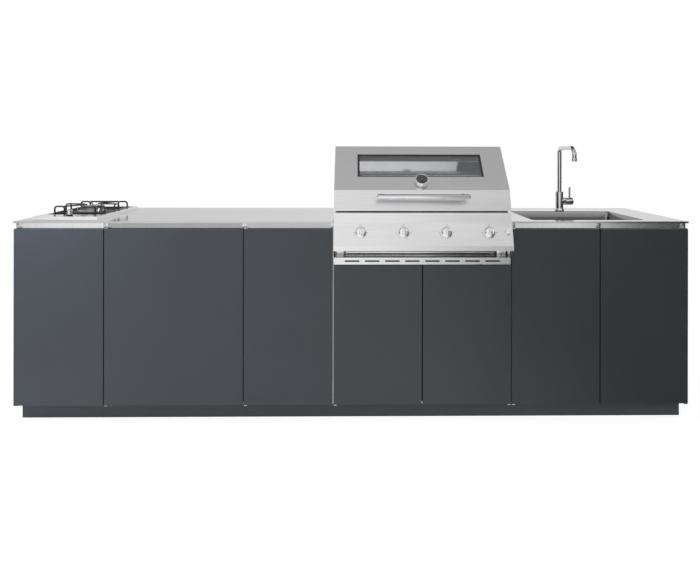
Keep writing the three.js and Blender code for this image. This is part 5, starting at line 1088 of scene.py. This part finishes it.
glass = clear("smoked glass", 0.17, (0.36, 0.37, 0.38, 1), (0.44, 0.45, 0.46, 1), (9, 4), (0.015, 0.06))
dress("hood_window", glass, 0.0006)
outer_half, border = window_half + border_out, bmesh.new()
for x0, up0, x1, up1 in (
    (-outer_half, window_high - border_in, outer_half, window_high + border_out),
    (-outer_half, window_low - border_out, outer_half, window_low + border_in / 2),
    (-outer_half, window_low, border_in - window_half, window_high),
    (window_half - border_in, window_low, outer_half, window_high),
):
    slab(border, (x0, up0, border_back), (x1, up1, border_front), at=slope_foot, turn=slope_turn)
make("window_border", border, black_enamel, "hood", "enamel")

# Thermometer: a chromed cup on the hood's face with a printed dial under a domed lens, a needle
# on its spindle, and a probe held by a nut inside the hood.

gauge_rise, dial_start, dial_step, dial_marks, marks_each = 0.165, 225, 9, 31, 5
mark_outer, number_circle, number_size = 0.0228, 0.0145, 0.0046
major_mark, minor_mark = (0.0185, 0.00035), (0.0205, 0.0002)
mark_low, mark_high, needle_low, needle_high = 0.02505, 0.02515, 25.6, 26
needle_plan = ((19.5, 0), (0, 1.2), (-6.5, 0.8), (-6.5, -0.8), (0, -1.2))
gauge_at = slope_foot + slope_turn @ Vector((0, gauge_rise * slope_long, 0))


def dial_turn(step):
    return slope_turn @ Matrix.Rotation(math.radians(dial_start - step * dial_step), 3, "Z")


gauge = lathe(bmesh.new(), [
    (0, -59.8), (4, -59.8), (5, -58.5), (5, 0.3), (25.6, 0.3), (26, 0.8), (26.2, 3.6), (28.5, 4.4),
    (30.3, 5.4), (31, 7), (31, 25.5), (30.6, 27), (29.2, 27.9), (26.6, 28), (25.6, 27.4), (25, 26.2),
    (25, 24.6), (0, 24.6)], 96, gauge_at, slope_turn)
make("gauge_cup", gauge, chrome, "hood", "chrome_parts", "thermometer", smooth=40)
gauge_nut = lathe(bmesh.new(), [(4, -6.2), (8.8, -6.2), (9, -6), (9, -2.5), (8.8, -2.3), (4, -2.3)], 6,
                  gauge_at, slope_turn)
make("gauge_nut", gauge_nut, zinc, "hood", "cabinet_steel")
dial_black = moulded("dial face", grey(0.022, 0.002), 0.5)
dial_print = moulded("dial print", grey(0.42, -0.01), 0.5)
dial = lathe(bmesh.new(), [(0, 24.4), (24.9, 24.4), (24.9, 25), (0, 25)], 64, gauge_at, slope_turn)
make("dial_face", dial, dial_black, "hood", "enamel")
marks = bmesh.new()
for step in range(dial_marks):
    major, turn = step % marks_each == 0, dial_turn(step)
    mark_inner, half = major_mark if major else minor_mark
    slab(marks, (mark_inner, -half, mark_low), (mark_outer, half, mark_high), at=gauge_at, turn=turn)
    if major:
        spot = gauge_at + turn @ Vector((number_circle, 0, 0.0251))
        lettering(marks, str(50 + 50 * step // marks_each), number_size, spot, slope_turn, 0.00005)
make("dial_marks", marks, dial_print, "hood", "white_plastic", smooth=20)
needle = bmesh.new()
stacked(needle, [[gauge_at + dial_turn(0) @ Vector((x, y, z)) * mm for x, y in needle_plan]
                 for z in (needle_low, needle_high)])
lathe(needle, [(0, 25), (2.2, 25), (2.2, 26.4), (1.5, 26.8), (0, 26.8)], 24, gauge_at, slope_turn)
make("dial_needle", needle, dial_print, "hood", "enamel")
lens_glass = clear("lens glass", 0.16, grey(0.10, 0), grey(0.16, 0), (60, 3), (0.01, 0.05))
lens = lathe(bmesh.new(), [(0, 27), (24.9, 27), (25.1, 27.4), (24.9, 27.7), (18, 27.9), (9, 28), (0, 28)], 64,
             gauge_at, slope_turn)
make("gauge_lens", lens, lens_glass, "hood", "dark_glass", smooth=60)

# Hood handle: a polished stainless bar with domed ends, carried clear of the hot face on two
# posts with cone collars and screwed through the hood from inside.

post_side, screw_behind, bar_out, bar_rise = 0.1835, 0.0631, 0.050, 0.115
bar_end = [(0, 0), (5.2, 0.2), (8.2, 1.2), (9.6, 3), (10, 5.2)]
handle_low, handle_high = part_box("hood_handle")
handle_at = Vector((handle_low.x, island_front - bar_out, bench_top + bar_rise))
bar_long = (handle_high.x - handle_low.x) / mm
bar_steel = polished("handle steel", grey(0.70, 0.01), 0.06)
bar = lathe(bmesh.new(), bar_end + [(radius, bar_long - along) for radius, along in reversed(bar_end)], 64,
            handle_at, facing_right)
screws = bmesh.new()
for x in (grill_x - post_side, grill_x + post_side):
    lathe(bar, [(0, 4), (7, 4), (7, 47.6), (7.6, 51.6), (9.4, 55.6), (9.6, 58.1), (0, 58.1)], 48,
          (x, handle_at.y, handle_at.z), facing_back)
    lathe(screws, [(0, 0), (6.5, 0), (6.5, 3), (5.5, 4.2), (0, 4.4)], 24,
          (x, handle_at.y + screw_behind, handle_at.z), facing_back)
make("handle_bar", bar, bar_steel, "hood", "chrome_parts", "hood_handle", smooth=40)
make("handle_screws", screws, zinc, "hood", "cabinet_steel")

# Floor: a plain sweep under the island. The eye, mirrors and glass see it glow white with some of
# the light that falls on it, which keeps the island's shadow, and bounced light finds it pale.

floor_side, floor_front, floor_back, floor_level = 14, -9, 14, -0.0005
floor_plan = ((-floor_side, floor_front), (floor_side, floor_front),
              (floor_side, floor_back), (-floor_side, floor_back))
floor_data = bpy.data.meshes.new("floor")
floor_data.from_pydata([(x, y, floor_level) for x, y in floor_plan], [], [(0, 1, 2, 3)])
floor = bpy.data.objects.new("floor", floor_data)
bpy.context.scene.collection.objects.link(floor)
floor_paint, floor_tree, floor_shader, floor_place = coated(
    "floor paint", roughness=0.9, specular_ior_level=0.1)


def looked_at(tree):
    """1 for the rays of the camera, of mirrors and of glass, and 0 for those that carry light."""
    path = node(tree, "LightPath").outputs
    mirrored = maths(tree, "MAXIMUM", path["Is Glossy Ray"], path["Is Transmission Ray"])
    return maths(tree, "MAXIMUM", mirrored, path["Is Camera Ray"])


floor_tone = between(floor_tree, noise(floor_tree, floor_place, 1.3), grey(0.90, 0), grey(0.94, 0))
floor_seen = looked_at(floor_tree)
floor_plain = mixed(floor_tree, floor_seen, floor_tone, grey(0.32, 0))
floor_tree.links.new(floor_plain, floor_shader.inputs["Base Color"])
floor_shader.inputs["Emission Color"].default_value = grey(0.86, 0)
floor_tree.links.new(floor_seen, floor_shader.inputs["Emission Strength"])
floor_data.materials.append(floor_paint)

# Lamps and cards: three soft lamps from the left, the front and above, and cards round the set
# that only mirrors see, which give the steel its light and dark bands.

def soft_lamp(name, at, aim, size, power, colour):
    lamp = bpy.data.lights.new(name, "AREA")
    lamp.shape, lamp.size, lamp.size_y = "RECTANGLE", size[0], size[1]
    lamp.energy, lamp.color = power, colour
    holder = bpy.data.objects.new(name, lamp)
    holder.location = at
    holder.rotation_euler = (Vector(aim) - Vector(at)).to_track_quat("-Z", "Y").to_euler()
    holder.visible_camera = holder.visible_glossy = holder.visible_transmission = False
    bpy.context.scene.collection.objects.link(holder)


def studio_card(name, low, high, *ramp):
    """An upright or level card between two corners, graded along its first side."""
    side = 0 if low[0] != high[0] else 1
    turn, back = list(low), list(high)
    turn[side], back[side] = high[side], low[side]
    sheet = bpy.data.meshes.new(name)
    sheet.from_pydata([low, turn, high, back], [], [(0, 1, 2, 3)])
    sheet.uv_layers.new(name="along")
    for loop, spot in zip(sheet.uv_layers[0].data, ((0, 0), (1, 0), (1, 1), (0, 1))):
        loop.uv = spot
    paint = bpy.data.materials.new(name)
    paint.use_nodes = True
    tree = paint.node_tree
    along = node(tree, "SeparateXYZ", {"Vector": node(tree, "TexCoord").outputs["UV"]}).outputs["X"]
    grade = node(tree, "ValToRGB", {"Fac": along})
    for k, (where, level) in enumerate(ramp):
        stop = grade.color_ramp.elements[k] if k < 2 else grade.color_ramp.elements.new(where)
        stop.position, stop.color = where, grey(level, 0)
    glow = node(tree, "Emission", {"Color": grade.outputs["Color"]})
    tree.links.new(glow.outputs[0], tree.nodes["Material Output"].inputs["Surface"])
    sheet.materials.append(paint)
    card = bpy.data.objects.new(name, sheet)
    bpy.context.scene.collection.objects.link(card)
    card.visible_camera = card.visible_diffuse = card.visible_shadow = card.visible_transmission = False


soft_lamp("left lamp", (-1.75, -0.75, 1.45), (-1.45, -0.27, 0.85), (0.7, 0.4), 20, (0.74, 0.88, 1.0))
soft_lamp("front lamp", (-0.3, -3.2, 2.0), (-0.2, 0, 0.5), (1.6, 1.2), 24, (0.97, 0.99, 1.0))
soft_lamp("top lamp", (0, 0.2, 3.6), (0, 0, 0.9), (4.0, 2.0), 36, (1, 1, 1))
studio_card("ceiling card", (-3, -2.2, 3.1), (3, 1.4, 3.1), (0, 0.63), (1, 0.47))
studio_card("rear flag", (-3, 0.15, 3.05), (3, 2.8, 3.05), (0, 0.05), (1, 0.04))
studio_card("back card", (-7, 5, 0.3), (7, 5, 2.2),
            (0, 0.72), (1, 0.84), (0.33, 0.75), (0.47, 0.84), (0.60, 0.88))
studio_card("front card", (-9, -7, -0.4), (3.95, -7, 5), (0, 0.95), (1, 0.98))
studio_card("dark card", (3.95, -7, -0.4), (9, -7, 2.0), (0, 0.06), (1, 0.05))
studio_card("grey card", (-0.3, -6.9, 0.25), (3.6, -6.9, 5), (0, 0.98), (1, 0.20), (0.36, 0.90), (0.72, 0.36))
studio_card("low card", (0.9, -6.95, -0.4), (2.9, -6.95, 0.22), (0, 0.70), (1, 0.34))
studio_card("floor card", (0.6, -5, 0.003), (7.5, -0.33, 0.003),
            (0, 0.88), (1, 0.04), (0.07, 0.50), (0.125, 0.14))
studio_card("far floor card", (4.05, -6.98, 0.003), (9, -5, 0.003), (0, 0.06), (1, 0.06))
studio_card("left flag", (-4.4, -5, -0.4), (-4.4, 3, 3), (0, 0.35), (1, 0.12))
studio_card("right flag", (4.4, -5, -0.4), (4.4, 3, 3), (0, 0.05), (1, 0.10))

# Surround: white to the eye, to mirrors and to glass. As light it is a soft grey that fades
# towards the top.

world = bpy.data.worlds.new("white surround")
bpy.context.scene.world = world
world.use_nodes = True
sky = world.node_tree
rise = node(sky, "SeparateXYZ", {"Vector": node(sky, "TexCoord").outputs["Generated"]}).outputs["Z"]
fade = node(sky, "MapRange", {"Value": rise, "From Min": -0.1, "From Max": 1.0}).outputs["Result"]
glow = node(sky, "ValToRGB", {"Fac": fade})
glow.color_ramp.elements[0].color, glow.color_ramp.elements[1].color = (0.55, 0.56, 0.57, 1), grey(0.32, 0.01)
seen = mixed(sky, looked_at(sky), glow.outputs["Color"], (1, 1, 1, 1))
sky.links.new(seen, sky.nodes["Background"].inputs["Color"])
sky.nodes["Background"].inputs["Strength"].default_value = 1.0
bpy.context.scene.view_settings.view_transform = "Standard"
